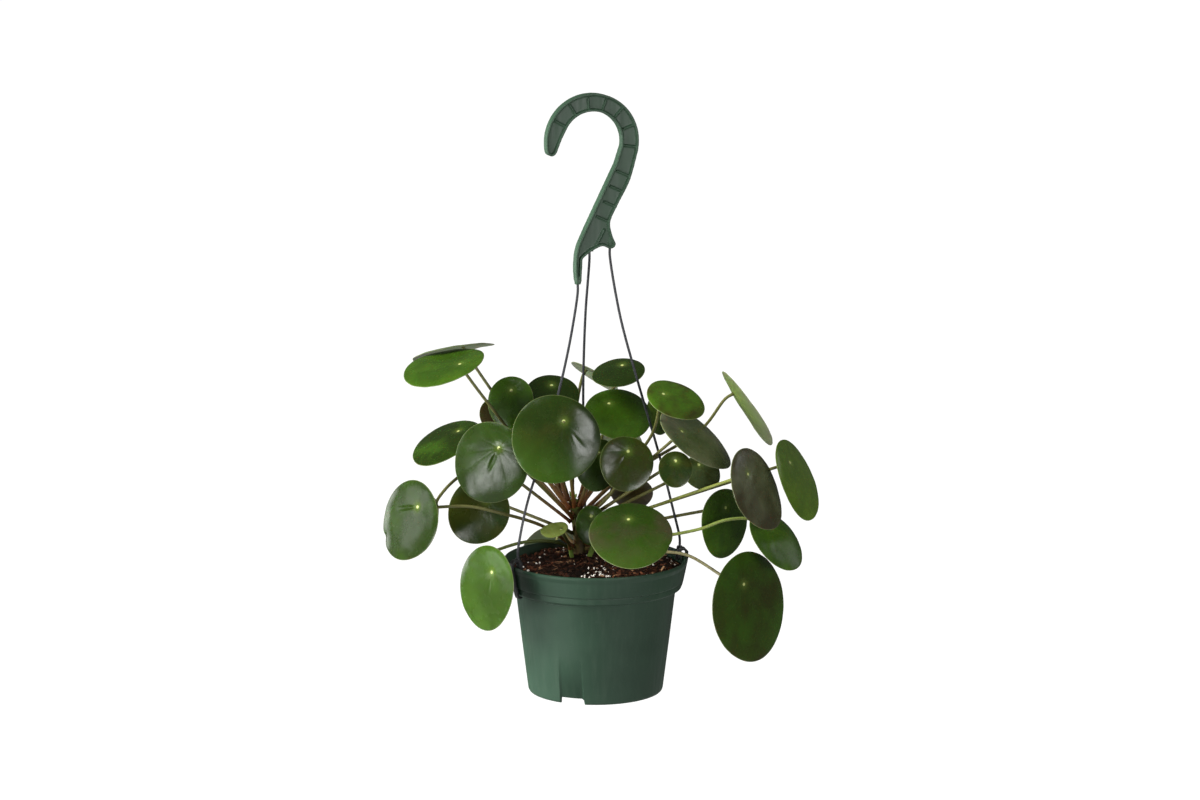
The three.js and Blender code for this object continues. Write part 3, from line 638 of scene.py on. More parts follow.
def makeLeaf(number, leaf, bladeMaterial, stalkMaterial):
    points, faces, facts = bladeParts(number, leaf)
    path = stalkPath(leaf)
    travelled = np.linspace(0, 1, len(path))
    distance = travelled * np.sum(np.linalg.norm(np.diff(path, axis=0), axis=1))
    radii = stalk["baseRadius"] + (stalk["tipRadius"] - stalk["baseRadius"]) * np.minimum(1, 1.5 * travelled)
    radii = radii + stalk["footSwell"] * np.exp(-(distance / stalk["footReach"]) ** 2) + (
        stalk["flare"] - stalk["tipRadius"]) * np.exp(-((distance[-1] - distance) / stalk["flareReach"]) ** 2)
    radii = radii * (1 + stalk["ripple"] * np.sin(distance * stalk["rippleRate"] + number))
    path[-1] = path[-1] - leafAxes(leaf)[0] * stalk["sunk"]
    stalkPoints, stalkFaces = tube(path, radii, stalk["sides"])
    share = np.concatenate([[0], np.repeat(travelled, stalk["sides"]), [1]])
    base, middle, end = (np.array(linear(c)[:3]) for c in leaf.get("stalkTones", stalk["tones"]))
    at = stalk["middleAt"]
    low = base + (middle - base) * np.minimum(share / at, 1)[:, None]
    stalkColour = low + (end - low) * np.clip((share - at) / (1 - at), 0, 1)[:, None]
    count, first = len(points), len(stalkPoints)
    allPoints, allFaces = together([(points, faces), (stalkPoints, stalkFaces)])
    colours = np.ones((count + first, 4))
    colours[:count, :3], colours[count:, :3] = facts[:, :3], stalkColour
    pad = np.zeros(first)
    floats = {
        "rimGap": np.concatenate([facts[:, 3], pad + 20]),
        "fromDot": np.concatenate([facts[:, 4], pad + blade["noDot"]]),
        "matt": np.concatenate([facts[:, 5], pad]),
    }
    slots = [0] * len(faces) + [1] * len(stalkFaces)
    piece = makeMesh(f"pilea_leaf_{number:02d}", allPoints, allFaces, (bladeMaterial, stalkMaterial), slots,
                     floats, {"tone": colours})
    return finished(piece, "foliage", f"leaf_{number:02d}")


# A fleshy pilea leaf has a smooth waxy cuticle: a soft broad sheen over a green that shows blotches, faint
# veins, a pale dot over the stalk and a hair-thin pale rim, a painted highlight of the edge catching light.
# Its cells are finer than the grain in the relief, which is drawn coarse enough to show.
cuticle = makeFinish(
    "waxyLeafCuticle", "tone",
    [("#2f3a12", (5, 4), 0.35, 0.7, 0, 0.2), ("#8fa14e", (1.3, 2), 0.55, 0.75, 0, 0.03),
     # the pale green along the rim is a painted highlight of the edge catching light; the pale yellow is the
     # dot
     ("#8a9561", "rimGap", 0.19, 0.61, 0.42, 0), ("#d9e08e", "fromDot", 0.94, 1.69, 0.9, 0)],
    [((14,), 0.3, 0.7, 0.22, 0.31), ("matt", 0, 1)], [(4.5, 2), ((0.9, 2), 0.25)], 0.12, 0.5,
    IOR=1.46, Subsurface_Weight=0.06, Subsurface_Scale=0.002)

# Petioles are juicy and ribbed along their length, satin rather than waxy.
stalkSkin = makeFinish(
    "petioleSkin", "tone", [("#4d3a20", (2.2,), 0.45, 0.7, 0, 0.35)], [((3, 2), 0.3, 0.7, 0.38, 0.55)],
    [(1.1, 2)], 0.12, IOR=1.42, Subsurface_Weight=0.05, Subsurface_Scale=0.001)

for leafNumber, leafFacts in leaves.items():
    makeLeaf(leafNumber, leafFacts, cuticle, stalkSkin)
print("stage 2: leaves", len(leaves))


# Stem piece: the trunk with the cushions that the stalks grow from, its scars, stipules and bud.
def stemShell():
    turns = np.linspace(0, 2 * math.pi, stem["sides"], endpoint=False)
    nodes = [leaf["node"] for leaf in leaves.values() if "node" in leaf]
    cushions = [(height, math.radians(side)) for height, side in nodes]
    scars = [(stem["scarFoot"] + stem["scarStep"] * i, math.radians(stem["spiral"] * i + stem["scarTurn"]))
             for i in stem["scars"]]
    rows, facts = [], []
    for place, centre in enumerate(stemPath):
        height = centre[2]
        base = stemRadius(height)
        ring = []
        for turn in turns:
            bulge = 0.0
            for at, side in cushions:
                apart = (turn - side + math.pi) % (2 * math.pi) - math.pi
                squared = ((height - at) ** 2 + (apart * base) ** 2) / stem["cushionSize"] ** 2
                bulge = max(bulge, stem["cushion"] * math.exp(-squared))
            scar = 0.0
            for at, side in scars:
                apart = (turn - side + math.pi) % (2 * math.pi) - math.pi
                ringGap = math.hypot(height - at, apart * base)
                scar = max(scar, math.exp(-((ringGap - stem["scarSize"]) / stem["scarLine"]) ** 2))
            grain = lump((math.cos(turn) * base, math.sin(turn) * base, height * 0.3), 2.2, 3)
            radius = base + bulge - stem["scarDepth"] * scar + stem["ridge"] * grain
            if height > stem["top"] - stem["domed"]:
                radius *= min(1.0, 0.35 + (stem["top"] - height) / 4)
            ring.append(centre + radius * np.array([math.cos(turn), math.sin(turn), 0]))
            facts.append((scar, bulge / stem["cushion"]))
        rows.append(ring)
    capped = [[stemPath[0]], *rows, [stemPath[-1] + np.array([0, 0, 0.2])]]
    return skin(capped), np.array([(0, 0), *facts, (0, 0)])


stipule = {"beside": 12, "above": 2.5, "belowTop": 4, "length": 5.0, "varied": 1.6, "half": 1.5, "lean": 2.2}


def stipuleShell(leaf, number):  # the papery brown scale above a stalk's foot
    height, side = leaf["node"]
    out, across = polar(1, side + stipule["beside"]), polar(1, side + stipule["beside"] + 90)
    foot = stemCentre(min(height + stipule["above"], stem["top"] - stipule["belowTop"]))
    foot = foot + out * (stemRadius(height) + 0.15)
    long = stipule["length"] + stipule["varied"] * math.sin(3.1 * number)
    rows = []
    for share in (0.0, 0.25, 0.5, 0.75):
        middle = foot + np.array([0, 0, long * share]) + out * (0.5 * share + 1.5 * share ** 2)
        edge = across * (stipule["half"] * (1 - share ** 2) + 0.12)
        rows.append([middle + edge, middle + out * 0.22, middle - edge, middle - out * 0.12])
    return skin([[foot], *rows, [foot + np.array([0, 0, long]) + out * stipule["lean"]]])


bud = {
    "leans": (0, 25, 38, 48), "turn": 40, "out": 0.7, "length": 8.5, "shorter": 1.4, "thin": 0.25,
    "swell": 1.5, "steps": 12, "sides": 10, "shootSize": 0.55,
}


def budShells():  # rolled young leaves and their sheaths at the tip of the stem and of each shoot
    shells = []
    tips = [(stemPath[-1], np.array([0, 0, 1.0]), 1.0)]
    for shoot in shoots:
        path = shootPath(shoot)
        tips.append((path[-1], unit(path[-1] - path[-2]), bud["shootSize"]))
    for tip, way, size in tips:
        for k, lean in enumerate(bud["leans"]):
            side = polar(1, stem["spiral"] * k + bud["turn"])
            heading = unit(way * math.cos(math.radians(lean)) + side * math.sin(math.radians(lean)))
            share = np.linspace(0, 1, bud["steps"])
            foot = tip + side * bud["out"] * size * (k > 0)
            path = foot + np.outer(share * (bud["length"] - bud["shorter"] * k) * size, heading)
            swell = np.sin(np.pi * share ** 0.8) * (1 - 0.35 * share)
            shells.append(tube(path, size * (bud["thin"] + bud["swell"] * swell), bud["sides"]))
    return shells


def makeStem():
    trunkPart, facts = stemShell()
    shootParts = []
    for shoot in shoots:
        path = evenly(shootPath(shoot), 44)
        share = np.linspace(0, 1, 44)
        radii = shoot["radius"] * (1 - 0.35 * share) * (1 + 0.05 * np.sin(share * 26))
        shootParts.append(tube(path, radii, 20))
    scales = [stipuleShell(leaf, number) for number, leaf in leaves.items() if "node" in leaf]
    buds = budShells()
    parts = [trunkPart, *shootParts, *scales, *buds]
    points, faces = together(parts)
    green, scar = np.zeros(len(points)), np.zeros(len(points))
    count = len(trunkPart[0])
    scar[:count] = facts[:, 0]
    green[:count] = np.clip((trunkPart[0][:, 2] - 140) / 50, 0, 0.45) + 0.25 * facts[:, 1]
    shootCount = sum(len(p[0]) for p in shootParts)
    green[count:count + shootCount] = 1.0
    green[len(points) - sum(len(p[0]) for p in buds):] = 1.2
    faceCounts = [len(p[1]) for p in parts]
    slots = [0] * sum(faceCounts[:1 + len(shoots)]) + [1] * sum(faceCounts[1 + len(shoots):-len(buds)])
    slots += [0] * sum(faceCounts[-len(buds):])
    piece = makeMesh("pilea_stem", points, faces, (corkyBark, paperyStipule), slots,
                     {"green": green, "scar": scar})
    return finished(piece, "stem_bark", "stem")


# A pilea's stem turns from green and smooth to brown and corky, with a pale oval scar under each lost leaf.
corkyBark = makeFinish(
    "corkyGreenStem", "#4f3b25",
    [("#6e6136", (4, 4), 0.35, 0.65), ("#7f9a45", "green", 0, 1), ("#a58f63", "scar", 0, 1, 0, 0.7)],
    [((2,), 0.3, 0.7, 0.5, 0.75)], [(0.9,)], 0.25, 0.7, IOR=1.45)

# A stipule is a dry scale, thin and matt as brown paper.
paperyStipule = makeFinish(
    "paperyBrownStipule", "#5c3a22", [("#8d6b45", (1.5,), 0.35, 0.65)], [((1.5, 2), 0.3, 0.7, 0.6, 0.8)],
    [(0.7, 2)], 0.15, IOR=1.45)

makeStem()
print("stage 3: stem")


# A nursery pot: heights and radii from its foot up to its lip.
pot = {
    "footRadius": 59.8, "footHeight": 6, "wall": 1.6, "bodyFoot": 60.9, "bodyTop": 72.2, "bandBottom": 93.6,
    "bandRadius": 77.4, "grooveHeight": 101.2, "grooveRadius": 78.9, "lipRadius": 82.5, "height": 121,
    "ringWidth": 2.6, "sides": 192, "colours": ("#213a2a", "#294332"), "dust": "#728170", "dusty": 0.14,
    "roughness": 0.46,
}
drain = {"angles": (10, 130, 250), "width": 22, "slotWidth": 13, "slotInner": 40, "slotOuter": 53}
potFloor = pot["footHeight"] + pot["wall"]


def bodyRadius(height):
    return pot["bodyFoot"] + (pot["bodyTop"] - pot["bodyFoot"]) * height / pot["bandBottom"]


innerProfile = [
    (pot["lipRadius"] - 1.7, pot["height"]), (pot["lipRadius"] - 3.1, pot["height"] - 6),
    (pot["bandRadius"] - pot["wall"] - 0.4, pot["bandBottom"] + 3.2),
    (bodyRadius(pot["bandBottom"]) - pot["wall"], pot["bandBottom"] + 1.2),
    (bodyRadius(potFloor + 3) - pot["wall"], potFloor + 3),
    (bodyRadius(potFloor) - pot["wall"] - 2, potFloor),
]


def rounded(profile, size, steps=4):  # the profile with its corners rounded off
    found = [profile[0]]
    for before, corner, after in zip(profile, profile[1:], profile[2:]):
        before, corner, after = (np.array(p, float) for p in (before, corner, after))
        reach = min(size, 0.45 * np.linalg.norm(corner - before), 0.45 * np.linalg.norm(after - corner))
        start, stop = corner + unit(before - corner) * reach, corner + unit(after - corner) * reach
        found += [tuple(p) for p in bezier([start, corner, stop], steps + 1)]
    return [*found, profile[-1]]


def onEnd(points):  # a flat shape's points turned to run along X
    return np.column_stack([points[:, 2], points[:, 0], points[:, 1]])


def makePot():
    foot, top, lip, body = pot["footHeight"], pot["height"], pot["lipRadius"], pot["bodyTop"]
    band, bandRadius = pot["bandBottom"], pot["bandRadius"]
    groove, grooveRadius = pot["grooveHeight"], pot["grooveRadius"]
    profile = [
        (0, foot), (6, foot), (6.6, foot - 0.5), (8, foot - 0.5), (8.6, foot), (30, foot), (30.5, foot - 0.7),
        (32, foot - 0.7), (32.5, foot), (pot["bodyFoot"] - pot["ringWidth"], foot),
        (pot["footRadius"] - pot["ringWidth"], 0), (pot["footRadius"], 0), (pot["bodyFoot"], 2),
        (bodyRadius(46), 46), (body, band), (body + 1.6, band), (bandRadius, band + 1.8),
        (grooveRadius - 1.1, groove - 1.1), (grooveRadius - 1.25, groove - 0.3),
        (grooveRadius - 0.5, groove + 0.1), (grooveRadius, groove + 0.6), (lip - 1.5, top - 6.2),
        (lip - 1.2, top - 5.6), (lip, top - 2.6), (lip, top - 0.6), (lip - 0.5, top), *innerProfile,
        (30, potFloor), (0, potFloor),
    ]
    points, faces = lathe(rounded(profile, 0.7), pot["sides"])
    piece = makeMesh("nursery_pot", points, faces, (makePolypropylene("mouldedGreenPolypropylene", pot),))
    low, high, half = pot["footRadius"] - 12, pot["footRadius"] + 12, drain["width"] / 2
    notch = [(-half - 0.6, -1), (half + 0.6, -1), (half, foot - 1.5), (half - 1.5, foot), (-half + 1.5, foot),
             (-half, foot - 1.5)]
    end = drain["slotWidth"] / 2
    bows = [polar(end, a) for a in range(-90, 91, 15)]
    slot = [(drain["slotOuter"] - end + b[0], b[1]) for b in bows]
    slot += [(drain["slotInner"] + end - b[0], -b[1]) for b in bows]
    for angle in drain["angles"]:
        turn = np.array([polar(1, angle), polar(1, angle + 90), (0, 0, 1)])
        cut(piece, prism(notch, low, high, lambda p: onEnd(p) @ turn))
        cut(piece, prism(slot, foot - 4, foot + 6, lambda p: p @ turn))
    return finished(piece, "pot_plastic", "pot")


# Injection-moulded polypropylene: satin, a little waxy, with a faint orange-peel, pale scuffs on what stands
# out and dust that settles where it is handled least.
def makePolypropylene(name, look):
    streaks, scuffs = (5, 4, 0.6, 0, 0.06), (2.4, 5, 0.7, 0.6)
    dark, light = look["colours"]
    dust, dusty, roughness = look["dust"], look["dusty"], look["roughness"]
    layers = [(light, (45,), 0.3, 0.7), (dust, streaks, 0.48, 0.78, 0, dusty * 0.5),
              (dust, scuffs, 0.62, 0.76, 0, dusty)]
    return makeFinish(name, dark, layers, [(streaks, 0.35, 0.7, roughness, roughness + 0.18)],
                      [(1.6, 2), (streaks, 0.6)], 0.06, 0.5, IOR=1.49)


makePot()
print("stage 4: pot")


# Soil and what lies on it.
soil = {
    "wallHeight": 113.5, "mound": 5.5, "moundReach": 34, "lump": 0.5, "clearance": 0.45, "sides": 220,
    "rings": 84, "coarse": 1.6, "fine": 0.75, "perlitePatch": (6, -52, 13, 26),
    # where painted shade darkens the soil and chips under the leaves in front of the stem
    "paintedShadePatch": (-14, -40, 24, 48),
}


def soilHeight(x, y):
    away = math.hypot(x - stem["x"], y - stem["y"]) / soil["moundReach"]
    lumps = math.sin(x / 6 + 1.3) * math.cos(y / 7.5) + 0.6 * math.sin((x + 2 * y) / 9)
    return soil["wallHeight"] + soil["mound"] * math.exp(-away * away) + soil["lump"] * lumps


def inPatch(x, y, patch):  # 1 in the middle of a patch, fading out with its reach along X and Y
    middleX, middleY, reachX, reachY = patch
    return math.exp(-((x - middleX) / reachX) ** 2 - ((y - middleY) / reachY) ** 2)


def makeSoil():
    turns = np.linspace(0, 2 * math.pi, soil["sides"], endpoint=False)
    edge = innerProfile[2][0] + 0.75 * (innerProfile[1][0] - innerProfile[2][0]) - 0.6
    rows, litter = [[[0, 0, soilHeight(0, 0)]]], [(0, 1, 0.5)]  # share of perlite, share of bark, painted shade
    for ring in range(1, soil["rings"] + 1):
        share = ring / soil["rings"]
        row = []
        for turn in turns:
            x, y = edge * share * math.cos(turn), edge * share * math.sin(turn)
            settle = 1 - 0.6 * max(0.0, (share - 0.93) / 0.07)
            rough = soil["coarse"] * lump((x, y, 3), 7, 3) + soil["fine"] * lump((x, y, 9), 1.9, 3)
            row.append([x, y, soilHeight(x, y) + rough * settle - 1.2 * max(0.0, (share - 0.95) / 0.05)])
            brim = math.exp(-((share - 0.93) / 0.07) ** 2) * (0.5 - 0.5 * y / edge) * (0.6 + 0.4 * x / edge)
            perlite = 0.03 + inPatch(x, y, soil["perlitePatch"]) + 0.12 * brim
            perlite += 0.1 * max(0, lump((x, y, 5), 14))
            litter.append((perlite, 1, inPatch(x, y, soil["paintedShadePatch"])))
        rows.append(row)
    sides = [(r - soil["clearance"], z + soil["clearance"]) for r, z in innerProfile[2:]]
    circle = np.column_stack([np.cos(turns), np.sin(turns), 0 * turns])
    rows += [radius * circle + np.array([0, 0, height]) for radius, height in sides]
    rows.append([[0, 0, potFloor + soil["clearance"]]])
    points, faces = skin(rows)
    facts = np.zeros((len(points), 3))
    facts[:len(litter)] = litter
    floats = dict(zip(("perliteShare", "barkShare", "damp"), facts.T))
    return makeMesh("potting_soil", points, faces, (moistPeat,), None, floats)


# Moist peat: nearly black in its pores and red-brown where fibre dries, with painted shade darkening it in
# front of the stem, under the leaves.
moistPeat = makeFinish(
    "moistPeat", "#0f0906",
    [("#301b13", (2.2, 5, 0.65), 0.35, 0.68), ("#5e3625", (0.9,), 0.6, 0.74, 0, 0.6),
     ("#0e0906", "damp", 0, 1, 0, 0.9)],
    [((5, 2), 0.3, 0.7, 0.62, 0.95)], [(1, 4, 0.7)], 0.7, 1, IOR=1.4)

# Composted bark and fibre: each chip has its own brown, from near black to rust. The same painted shade
# darkens the chips in front of the stem.
compostedBark = makeFinish(
    "compostedBark", "#130a06",
    [("#6c3e29", "shade", 0, 1), ("#b28a66", "shade", 0.88, 0.98), ("#0e0805", "damp", 0, 1, 0, 0.9),
     ("#2a150d", (1.4,), 0.45, 0.75, 0, 0.5)],
    [((2, 2), 0.3, 0.7, 0.45, 0.8)], [(0.7,)], 0.3, 0.8, IOR=1.45)

# Expanded perlite: matt white glass foam with a few grey pores.
expandedPerlite = makeFinish(
    "expandedPerlite", "#efeae0",
    [("#a89b8a", (0.8,), 0.56, 0.7, 0, 0.6), ("#9a7a5c", "shade", 0.6, 1, 0, 0.45)],
    [((1.2, 2), 0.3, 0.7, 0.8, 0.95)], [(0.6,)], 0.3, 1, IOR=1.5)


def litterShapes(name, long, wide, high, rough, count=4):  # a few small lumps to strew
    found = bpy.data.collections.new(name)
    for index in range(count):
        mesh = bpy.data.meshes.new(f"{name}{index}")
        shape = bmesh.new()
        bmesh.ops.create_icosphere(shape, subdivisions=1, radius=0.5)
        for vertex in shape.verts:
            swell = 1 + rough * lump(vertex.co + Vector((0, 0, 9.0 * index)), 0.5, 1)
            vertex.co = Vector((vertex.co.x * long, vertex.co.y * wide, vertex.co.z * high)) * swell * mm
        shape.to_mesh(mesh)
        shape.free()
        found.objects.link(bpy.data.objects.new(f"{name}{index}", mesh))
    return found


def strewTree():  # scatters a collection's lumps over a surface, where an attribute says
    tree = bpy.data.node_groups.new("strewLitter", "GeometryNodeTree")
    inputs = {
        "Ground": "Geometry", "Lumps": "Collection", "Share": "String", "Per Square Metre": "Float",
        "Smallest": "Float", "Largest": "Float", "Tilt": "Float", "Lift": "Float", "Seed": "Int",
        "Finish": "Material",
    }
    for name, kind in inputs.items():
        tree.interface.new_socket(name=name, in_out="INPUT", socket_type="NodeSocket" + kind)
    tree.interface.new_socket(name="Litter", in_out="OUTPUT", socket_type="NodeSocketGeometry")
    given = tree.nodes.new("NodeGroupInput").outputs
    share = addNode(tree, "GeometryNodeInputNamedAttribute", {"Name": given["Share"]}, data_type="FLOAT")
    density = addNode(tree, "ShaderNodeMath", {0: given["Per Square Metre"], 1: share}, operation="MULTIPLY")
    spots = addNode(tree, "GeometryNodeDistributePointsOnFaces", {
        "Mesh": given["Ground"], "Density": density, "Seed": given["Seed"]})
    lumps = addNode(tree, "GeometryNodeCollectionInfo", {
        "Collection": given["Lumps"], "Separate Children": True, "Reset Children": True})
    size = addNode(tree, "FunctionNodeRandomValue", {
        "Min": given["Smallest"], "Max": given["Largest"], "Seed": given["Seed"]}, data_type="FLOAT")
    tilt = addNode(tree, "ShaderNodeCombineXYZ", {"X": given["Tilt"], "Y": given["Tilt"], "Z": 3.1416})
    less = addNode(tree, "ShaderNodeVectorMath", {"Vector": tilt, "Scale": -1}, operation="SCALE")
    turn = addNode(tree, "FunctionNodeRandomValue", {"Min": less, "Max": tilt, "Seed": given["Seed"]},
                   data_type="FLOAT_VECTOR")
    placed = addNode(tree, "GeometryNodeInstanceOnPoints", {
        "Points": spots, "Instance": lumps, "Pick Instance": True, "Rotation": turn, "Scale": size})
    shade = addNode(tree, "FunctionNodeRandomValue", {"Seed": 77}, data_type="FLOAT")
    kept = addNode(tree, "GeometryNodeStoreNamedAttribute", {
        "Geometry": placed, "Name": "shade", "Value": shade}, data_type="FLOAT", domain="INSTANCE")
    real = addNode(tree, "GeometryNodeRealizeInstances", {"Geometry": kept})
    lift = addNode(tree, "ShaderNodeCombineXYZ", {"Z": given["Lift"]})
    raised = addNode(tree, "GeometryNodeSetPosition", {"Geometry": real, "Offset": lift})
    painted = addNode(tree, "GeometryNodeSetMaterial", {"Geometry": raised, "Material": given["Finish"]})
    tree.links.new(painted, tree.nodes.new("NodeGroupOutput").inputs[0])
    return tree


litterKinds = {  # long, wide, high and roughness of one lump of size 1, then how it is strewn
    "soil_bark_chips": {
        "shape": (4.6, 2.5, 1.3, 0.7), "share": "barkShare", "density": 46000, "sizes": (0.4, 1.4),
        "tilt": 0.7, "lift": 0.25, "seed": 4, "finish": compostedBark},
    "soil_fibres": {
        "shape": (6.5, 0.34, 0.34, 0.5), "share": "barkShare", "density": 30000, "sizes": (0.5, 1.4),
        "tilt": 0.35, "lift": 0.5, "seed": 11, "finish": compostedBark},
    "soil_perlite": {
        "shape": (2.5, 2.1, 1.7, 0.8), "share": "perliteShare", "density": 60000, "sizes": (0.4, 1.15),
        "tilt": 3.1, "lift": 0.45, "seed": 23, "finish": expandedPerlite},
}


def makeLitter(ground):
    tree = strewTree()
    sockets = {item.name: item.identifier for item in tree.interface.items_tree if item.in_out == "INPUT"}
    for name, kind in litterKinds.items():
        lumps = litterShapes(name + "Lump", *kind["shape"])
        bpy.context.scene.collection.children.link(lumps)
        piece = bpy.data.objects.new(name, ground.data.copy())
        bpy.context.scene.collection.objects.link(piece)
        modifier = piece.modifiers.new("strew", "NODES")
        modifier.node_group = tree
        given = {
            "Lumps": lumps, "Share": kind["share"], "Per Square Metre": float(kind["density"]),
            "Smallest": kind["sizes"][0], "Largest": kind["sizes"][1], "Tilt": kind["tilt"],
            "Lift": kind["lift"] * mm, "Seed": kind["seed"], "Finish": kind["finish"],
        }
        for socket, value in given.items():
            modifier[sockets[socket]] = value
        plain(piece)
        print("  ", name, len(piece.data.polygons), "faces")
        for source in list(lumps.objects):
            bpy.data.objects.remove(source)
        bpy.data.collections.remove(lumps)
        finished(piece, "soil")


ground = makeSoil()
makeLitter(ground)
finished(ground, "soil", "soil")
print("stage 5: soil")


# Hook: a flat crook of channel section that spreads into three lobes.
hook = {
    "x": -3.5, "y": 0, "turn": 18, "centre": 497, "outer": 43, "inner": 27, "depth": 9, "webDepth": 3.2,
    "flange": 2, "ribWidth": 1.3, "ribDepth": 7, "boss": 2.9, "socket": 5, "grain": 0.55, "smooth": 4,
    "crookRibs": (-8, 20, 46, 71, 96, 122, 150),
    "shankRibs": ((28.5, -29), (22.5, -42.5), (16.5, -56), (10, -69)),
    "colours": ("#344b39", "#3f5a45"), "dust": "#869a88", "dusty": 0.08, "roughness": 0.42,
}
hookSockets = {"left": (-12.9, 0, -126.6), "back": (0.6, 8, -98.5), "right": (17, 0, -95)}


def arc(radius, first, last, count=40):
    return [polar(radius, a)[:2] for a in np.linspace(first, last, count)]


def spline(start, points, count=14):  # an even curve through the points, from start
    ends = [np.array(p, float) for p in (start, *points)]
    ends = [ends[0], *ends, ends[-1]]
    found = []
    for a, b, c, d in zip(ends, ends[1:], ends[2:], ends[3:]):
        t = np.linspace(0, 1, count)[1:, None]
        leave, arrive = (c - a) / 2, (d - b) / 2
        found += list(b + leave * t + (3 * (c - b) - 2 * leave - arrive) * t ** 2
                      + (2 * (b - c) + leave + arrive) * t ** 3)
    return found


def hookOutline():
    line = arc(hook["outer"], 188, -14, 90)
    line += spline(line[-1], [(34.5, -35), (24, -55), (16.4, -71), (18, -83), (21.5, -91)])
    line += list(bezier([line[-1], (21, -96), (15.5, -95.5)], 10))[1:]
    line += spline(line[-1], [(9, -93), (2, -95.5), (-4, -99), (-9.6, -103.5)])
    line += [np.array([-10.6, -124.0])]
    line += list(bezier([line[-1], (-13, -129), (-15.2, -124)], 10))[1:]
    line += spline(line[-1], [(-16.2, -112), (-14.6, -96), (-8.6, -81), (10.6, -42), (21.5, -20)])
    line += arc(hook["inner"], -10, 150, 70)
    line += spline(line[-1], [(-28.5, 3.5), (-32.4, -6)])
    line += list(bezier([line[-1], (-34, -11), (-37.5, -11.5)], 8))[1:]
    line += list(bezier([line[-1], (-42, -11), (-42.6, -6)], 8))[1:]
    return evenly(np.array([*line, line[0]]), 460)[:-1]


def movedIn(outline, distance):
    along = np.roll(outline, -1, axis=0) - np.roll(outline, 1, axis=0)
    along /= np.linalg.norm(along, axis=1)[:, None]
    return outline + distance * np.column_stack([along[:, 1], -along[:, 0]])


def standing(points):  # a flat shape's points stood up in the plane of X and Z
    return np.column_stack([points[:, 0], -points[:, 2], points[:, 1]])


def ringPrism(outer, inner, half):  # a thick band between two outlines
    rows = [np.column_stack([loop, np.full(len(loop), h)])
            for loop, h in ((outer, -half), (outer, half), (inner, half), (inner, -half))]
    points, faces = skin(rows)
    count = len(outer)
    faces = faces + [(3 * count + i, i, (i + 1) % count, 3 * count + (i + 1) % count) for i in range(count)]
    return outward(standing(points), faces)


def slab(size, place, degrees):  # a box across, through and up, turned in the hook's plane
    wide, deep, high = (s / 2 for s in size)
    along, up = polar(1, degrees)[:2], polar(1, degrees + 90)[:2]
    corners = [(-wide, -high), (wide, -high), (wide, high), (-wide, high)]
    return prism([place + x * along + z * up for x, z in corners], -deep, deep, standing)


def hookPoints(points):  # the hook's own frame in the pot's
    angle = math.radians(hook["turn"])
    x, y, z = np.asarray(points, float).T
    return np.column_stack([hook["x"] + x * math.cos(angle) - y * math.sin(angle),
                            hook["y"] + x * math.sin(angle) + y * math.cos(angle), z + hook["centre"]])


def borePoints(x, y, low, high, place):  # a straight hole for a strand's end
    points, faces = lathe([(0, low), (strand["bore"], low), (strand["bore"], high), (0, high)], 20, (x, y))
    return place(points), faces


def makeHook():
    h = hook
    outline = hookOutline()
    shells = [ringPrism(outline, movedIn(outline, h["flange"]), h["depth"] / 2),
              prism(movedIn(outline, h["flange"] / 2), -h["webDepth"] / 2, h["webDepth"] / 2, standing)]
    middle = (h["outer"] + h["inner"]) / 2
    ribs = [(h["outer"] - h["inner"] - 1, polar(middle, angle)[:2], angle) for angle in h["crookRibs"]]
    ribs += [(13.5, place, -25) for place in h["shankRibs"]]
    shells += [slab((wide, h["ribDepth"], h["ribWidth"]), place, angle) for wide, place, angle in ribs]
    shells.append(slab((2, h["ribDepth"] - 1, 19), (6.8, -86.5), -28))
    wing = [(0, -72), (0, -98), (9, -98), (9, -93), (3, -76)]
    backX = hookSockets["back"][0]
    shells.append(prism(wing, backX - 1.2, backX + 1.2, onEnd))
    for x, y, z in hookSockets.values():
        sleeve = [(0, 0), (h["boss"], 0), (h["boss"], 7), (h["boss"] - 1.2, 9.5), (0, 9.5)]
        shells.append(lathe([(r, z + up) for r, up in sleeve], 24, (x, y)))
    points, faces = together(shells)
    piece = makeMesh("hanger_hook", hookPoints(points), faces, (makePolypropylene("mouldedGreenHook", hook),))
    melted(piece, h["grain"], h["smooth"])
    for x, y, z in hookSockets.values():
        cut(piece, borePoints(x, y, z - 6, z + h["socket"], hookPoints))
    return finished(piece, "hook_plastic", "hook")


# Strands and the clips that hold them to the rim; the angles are degrees round the pot.
strand = {
    "radius": 1.15, "bore": 1.75, "sides": 16, "steps": 120, "colours": ("#313236", "#4b4f4e"),
    "roughness": 0.33,
}
clip = {
    "angles": {"left": 207, "back": 97, "right": 11}, "width": 6.5, "thickness": 2, "top": 127.3,
    "innerLeg": 116, "gap": 0.4, "collar": 77.4, "mouth": 128.7, "depth": 2.6, "boss": 2.6, "grain": 0.3,
    "smooth": 3, "colours": ("#131415", "#3a3c3c"), "roughness": 0.36,
}
strandBends = {
    "left": ((-23, -6.5, 318), (-35, -12, 265), (-49, -18, 215), (-62, -27, 172)),
    "back": ((-9, 22, 340), (-11, 37, 280), (-11, 54, 220), (-10, 70, 168)),
    "right": ((22, 6, 340), (38, 8, 280), (56, 7.5, 218), (69.5, 7.2, 165)),
}


def makeStrand(side, material):
    x, y, z = hookSockets[side]
    top = hookPoints([(x, y, z + up) for up in (hook["socket"] - 0.3, -1, -7)])
    angle, mouth = clip["angles"][side], clip["mouth"]
    foot = [polar(clip["collar"], angle, mouth + up) for up in (7, 1, 0.3 - clip["depth"])]
    path = evenly(throughPoints([*top, *strandBends[side], *foot]), strand["steps"])
    points, faces = tube(path, np.full(len(path), strand["radius"]), strand["sides"])
    return finished(makeMesh(f"hanger_strand_{side}", points, faces, (material,)), "strand", f"strand_{side}")


